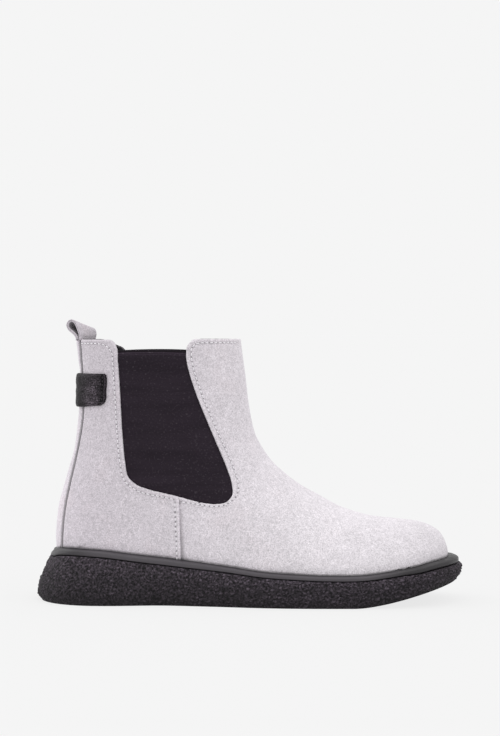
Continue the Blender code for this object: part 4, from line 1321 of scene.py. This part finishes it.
# Finishes of one noise between two colours: key, name, Finish's values, the noise's values, the two
# colours, and at most one relief as (the noise's values, strength, distance).
BRUSHED = (0.05, 1.0, 1.0)
CORE_LOOK = ((0.9, 0.2), (2.0, 4.0, 0.7))
CORE_RELIEF = (((0.8, 4.0, 0.7), 0.4, 0.1),)
PLAIN_FINISHES = (
    ("thread", "pale_thread", (0.7, 0.3), (0.6,), (0.90, 0.88, 0.91), (0.74, 0.72, 0.75),
     (((0.3, 2.0, 0.5, (1.0, 1.0, 2.0)), 0.5, 0.05),)),
    ("piping", "piping_thread", (0.85, 0.15), (0.8,), (0.42, 0.40, 0.42), (0.20, 0.185, 0.20), ()),
    ("black_thread", "black_thread", (0.6, 0.4), (0.6,), (0.02, 0.018, 0.02), (0.05, 0.045, 0.05), ()),
    ("foam", "foam_core", *CORE_LOOK, (0.13, 0.13, 0.14), (0.18, 0.18, 0.19), CORE_RELIEF),
    ("board", "board_core", *CORE_LOOK, (0.46, 0.39, 0.29), (0.60, 0.52, 0.41), CORE_RELIEF),
    ("steel", "brushed_spring_steel", (0.35, 0.5, 1.0), (1.0, 3.0, 0.6, BRUSHED), (0.42, 0.43, 0.45),
     (0.55, 0.56, 0.58), (((0.5, 3.0, 0.6, BRUSHED), 0.15, 0.05),)),
)


def make_finishes():
    """Every material, by key."""
    made = {}

    def new(key, name, *values):
        finish = Finish(name, *values)
        made[key] = finish.made
        return finish

    suede = new("suede", "grey_suede", 0.95, 0.12)
    along = suede.range(suede.axis("X"), -0.115, 0.045)
    ground = suede.mix(along, (0.572, 0.528, 0.572), (0.668, 0.634, 0.666))
    blush = suede.range(suede.noise(30.0, 3.0, 0.55), 0.52, 0.74, 0.0, 0.6)
    ground = suede.mix(blush, ground, suede.mix(along, (0.600, 0.530, 0.568), (0.662, 0.622, 0.655)))
    toe = suede.range(suede.axis("X"), 0.06, 0.128, 1.0, 0.90)
    foot = suede.range(suede.axis("Z"), 0.055, 0.105, 1.045, 0.985)
    dull = suede.range(suede.noise(16.0, 4.0, 0.6), 0.35, 0.75, 0.95, 1.04)
    flecks = [suede.range(suede.noise(size, 3.0, 0.7), 0.30, 0.70, 1.0 - depth, 1.0 + depth)
              for size, depth in ((2.6, 0.11), (0.8, 0.30))]
    suede.toned(suede.times(ground, toe, foot, dull, *flecks))
    suede.relief((suede.noise(0.55, 3.0, 0.7), 0.6, 0.12), (suede.noise(2.2, 3.0, 0.65), 0.5, 0.30))
    suede.sheen(0.35, 0.55, (0.95, 0.93, 0.96))

    elastic = new("elastic", "black_elastic", 0.9, 0.10)
    weave = elastic.mix(elastic.wave(0.5, "X"), (0.016, 0.0115, 0.0165), (0.026, 0.0190, 0.0270))
    streak = elastic.range(elastic.noise(7.0, 3.0, 0.6, (0.15, 0.15, 1.0)), 0.3, 0.7, 0.85, 1.2)
    lint = elastic.range(elastic.noise(1.2, 2.0, 0.5), 0.58, 0.82)
    elastic.toned(elastic.mix(lint, elastic.times(weave, streak), (0.062, 0.052, 0.062)))
    elastic.relief((elastic.wave(0.5, "X"), 0.35, 0.08), (elastic.noise(0.5), 0.3, 0.05))
    elastic.sheen(0.05, 0.5, (0.8, 0.75, 0.8))

    leather = new("leather", "black_grained_leather", 0.42, 0.09)
    # Lighter streaks: partly the leather's grain, partly painted highlight.
    grain_and_painted_highlight = leather.range(leather.noise(1.1, 4.0, 0.7, (1.0, 1.0, 1.6)), 0.40, 0.64)
    leather.toned(leather.mix(grain_and_painted_highlight, (0.005, 0.0038, 0.005), (0.135, 0.112, 0.135)))
    leather.rough(leather.range(leather.noise(1.2, 4.0, 0.6), 0.3, 0.7, 0.28, 0.55))
    leather.relief((leather.noise(0.45, 4.0, 0.65), 0.55, 0.08))

    textile = new("textile", "black_lining_textile", 0.9, 0.15)
    textile.colour(textile.mix(textile.noise(1.0), (0.010, 0.010, 0.011), (0.022, 0.021, 0.024)))
    textile.relief((textile.wave(0.7, "X"), 0.4, 0.06), (textile.wave(0.7, "Z"), 0.4, 0.06))
    textile.sheen(0.05, 0.5, (0.7, 0.7, 0.75))

    rand = new("rand", "dark_rand_rubber", 0.42, 0.45)
    smear = rand.noise(9.0, 4.0, 0.6, (0.25, 0.25, 1.6))
    rand.toned(rand.mix(smear, (0.048, 0.042, 0.049), (0.080, 0.071, 0.081)))
    rand.rough(rand.range(rand.noise(5.0, 4.0, 0.6, (0.3, 0.3, 1.5)), 0.3, 0.7, 0.36, 0.58))
    rand.relief((rand.noise(3.0, 4.0, 0.6, (0.2, 0.2, 1.6)), 0.3, 0.12), (rand.noise(0.5), 0.12, 0.05))

    crepe = new("crepe", "black_crepe_rubber", 0.7, 0.25)
    grit = crepe.range(crepe.noise(1.35, 4.0, 0.7), 0.40, 0.62)
    crepe.toned(crepe.mix(grit, (0.003, 0.0022, 0.003), (0.088, 0.071, 0.090)))
    crepe.relief((crepe.noise(1.7, 4.0, 0.7), 1.0, 0.90))

    cork = new("cork", "cork_granules", 0.95, 0.15)
    grains = cork.range(cork.noise(2.2, 5.0, 0.75), 0.35, 0.65)
    cork.colour(cork.mix(grains, (0.22, 0.13, 0.07), (0.56, 0.39, 0.23)))
    cork.relief((cork.noise(1.8, 4.0, 0.7), 0.6, 0.3))

    for key, name, values, pattern, low, high, relief in PLAIN_FINISHES:
        plain = new(key, name, *values)
        plain.colour(plain.mix(plain.noise(*pattern), low, high))
        for layer, strength, distance in relief:
            plain.relief((plain.noise(*layer), strength, distance))
    return made


def dress_hidden_parts(finish):
    """CAD pieces that stay as they are, inside the sole and the upper."""
    looks = {"heel_wedge": ("foam", "eva_foam"), "footbed_foam": ("foam", "eva_foam"),
             "bottom_filler": ("cork", "cork_filler"), "insole_board": ("board", "fibre_board"),
             "shank": ("steel", "spring_steel"), "pull_loop_root": ("suede", "suede")}
    for node, (look, slot) in looks.items():
        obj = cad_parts[node]
        obj.data.materials.clear()
        obj.data.materials.append(finish[look])
        set_tone(obj.data, np.ones(len(obj.data.vertices)))


# ---------------------------------------------------------------- floor, light and camera

def soft_sun(name, come_from, strength, spread):
    """A broad, even light from a direction."""
    light = bpy.data.lights.new(name, "SUN")
    light.energy, light.angle = strength, math.radians(spread)
    obj = bpy.data.objects.new(name, light)
    obj.rotation_euler = Vector(come_from).to_track_quat("Z", "Y").to_euler()
    bpy.context.scene.collection.objects.link(obj)


def make_studio():
    """A seamless pale floor under an even white sky, with broad lights from above and behind."""
    scene = bpy.context.scene
    world = bpy.data.worlds.new("studio")
    world.use_nodes = True
    world.node_tree.nodes["Background"].inputs["Color"].default_value = (WHITE, WHITE, WHITE, 1.0)
    scene.world = world
    mesh = bpy.data.meshes.new("floor")
    corners = [(x * FLOOR_REACH, y * FLOOR_REACH, 0) for x, y in ((-1, -1), (1, -1), (1, 1), (-1, 1))]
    mesh.from_pydata(corners, [], [(0, 1, 2, 3)])
    floor = bpy.data.objects.new("floor", mesh)
    scene.collection.objects.link(floor)
    paper = bpy.data.materials.new("floor_paper")
    paper.use_nodes = True
    shader = paper.node_tree.nodes["Principled BSDF"]
    shader.inputs["Base Color"].default_value = (FLOOR_ALBEDO, FLOOR_ALBEDO, FLOOR_ALBEDO, 1.0)
    shader.inputs["Roughness"].default_value = 1.0
    shader.inputs["Specular IOR Level"].default_value = 0.0
    shader.inputs["Emission Color"].default_value = (1.0, 1.0, 1.0, 1.0)
    lit = WHITE
    for name, come_from, strength, spread in SUNS:
        soft_sun(name, come_from, strength, spread)
        lit += strength * Vector(come_from).normalized().z / math.pi
    shader.inputs["Emission Strength"].default_value = WHITE - FLOOR_ALBEDO * lit
    mesh.materials.append(paper)
    scene.view_settings.view_transform = "Standard"
    scene.view_settings.look = "None"


def make_camera():
    """The viewing angle: level, 1.3 m away, a little to the toe's side of square on."""
    angle = math.radians(CAMERA_TURN)
    data = bpy.data.cameras.new("camera")
    data.sensor_width, data.lens = 36.0, CAMERA_LENS
    data.shift_x, data.shift_y = CAMERA_SHIFT
    obj = bpy.data.objects.new("camera", data)
    obj.location = (CAMERA_DISTANCE * math.sin(angle), -CAMERA_DISTANCE * math.cos(angle), CAMERA_HEIGHT)
    obj.rotation_euler = (math.pi / 2, 0.0, angle)
    bpy.context.scene.collection.objects.link(obj)
    bpy.context.scene.camera = obj


def main():
    finish = make_finishes()
    fine, coarse = whole_upper(**FINE_FAN), whole_upper(**COARSE_FAN)
    make_vamp(fine, finish)
    make_quarters(fine, finish)
    make_backstay(fine, finish)
    make_gores(finish)
    make_layers(coarse, finish)
    make_heel_tab(finish)
    make_pull_loop(finish)
    make_outsole(finish)
    make_rand(finish)
    make_sock_liner(finish)
    dress_hidden_parts(finish)
    make_studio()
    make_camera()


main()
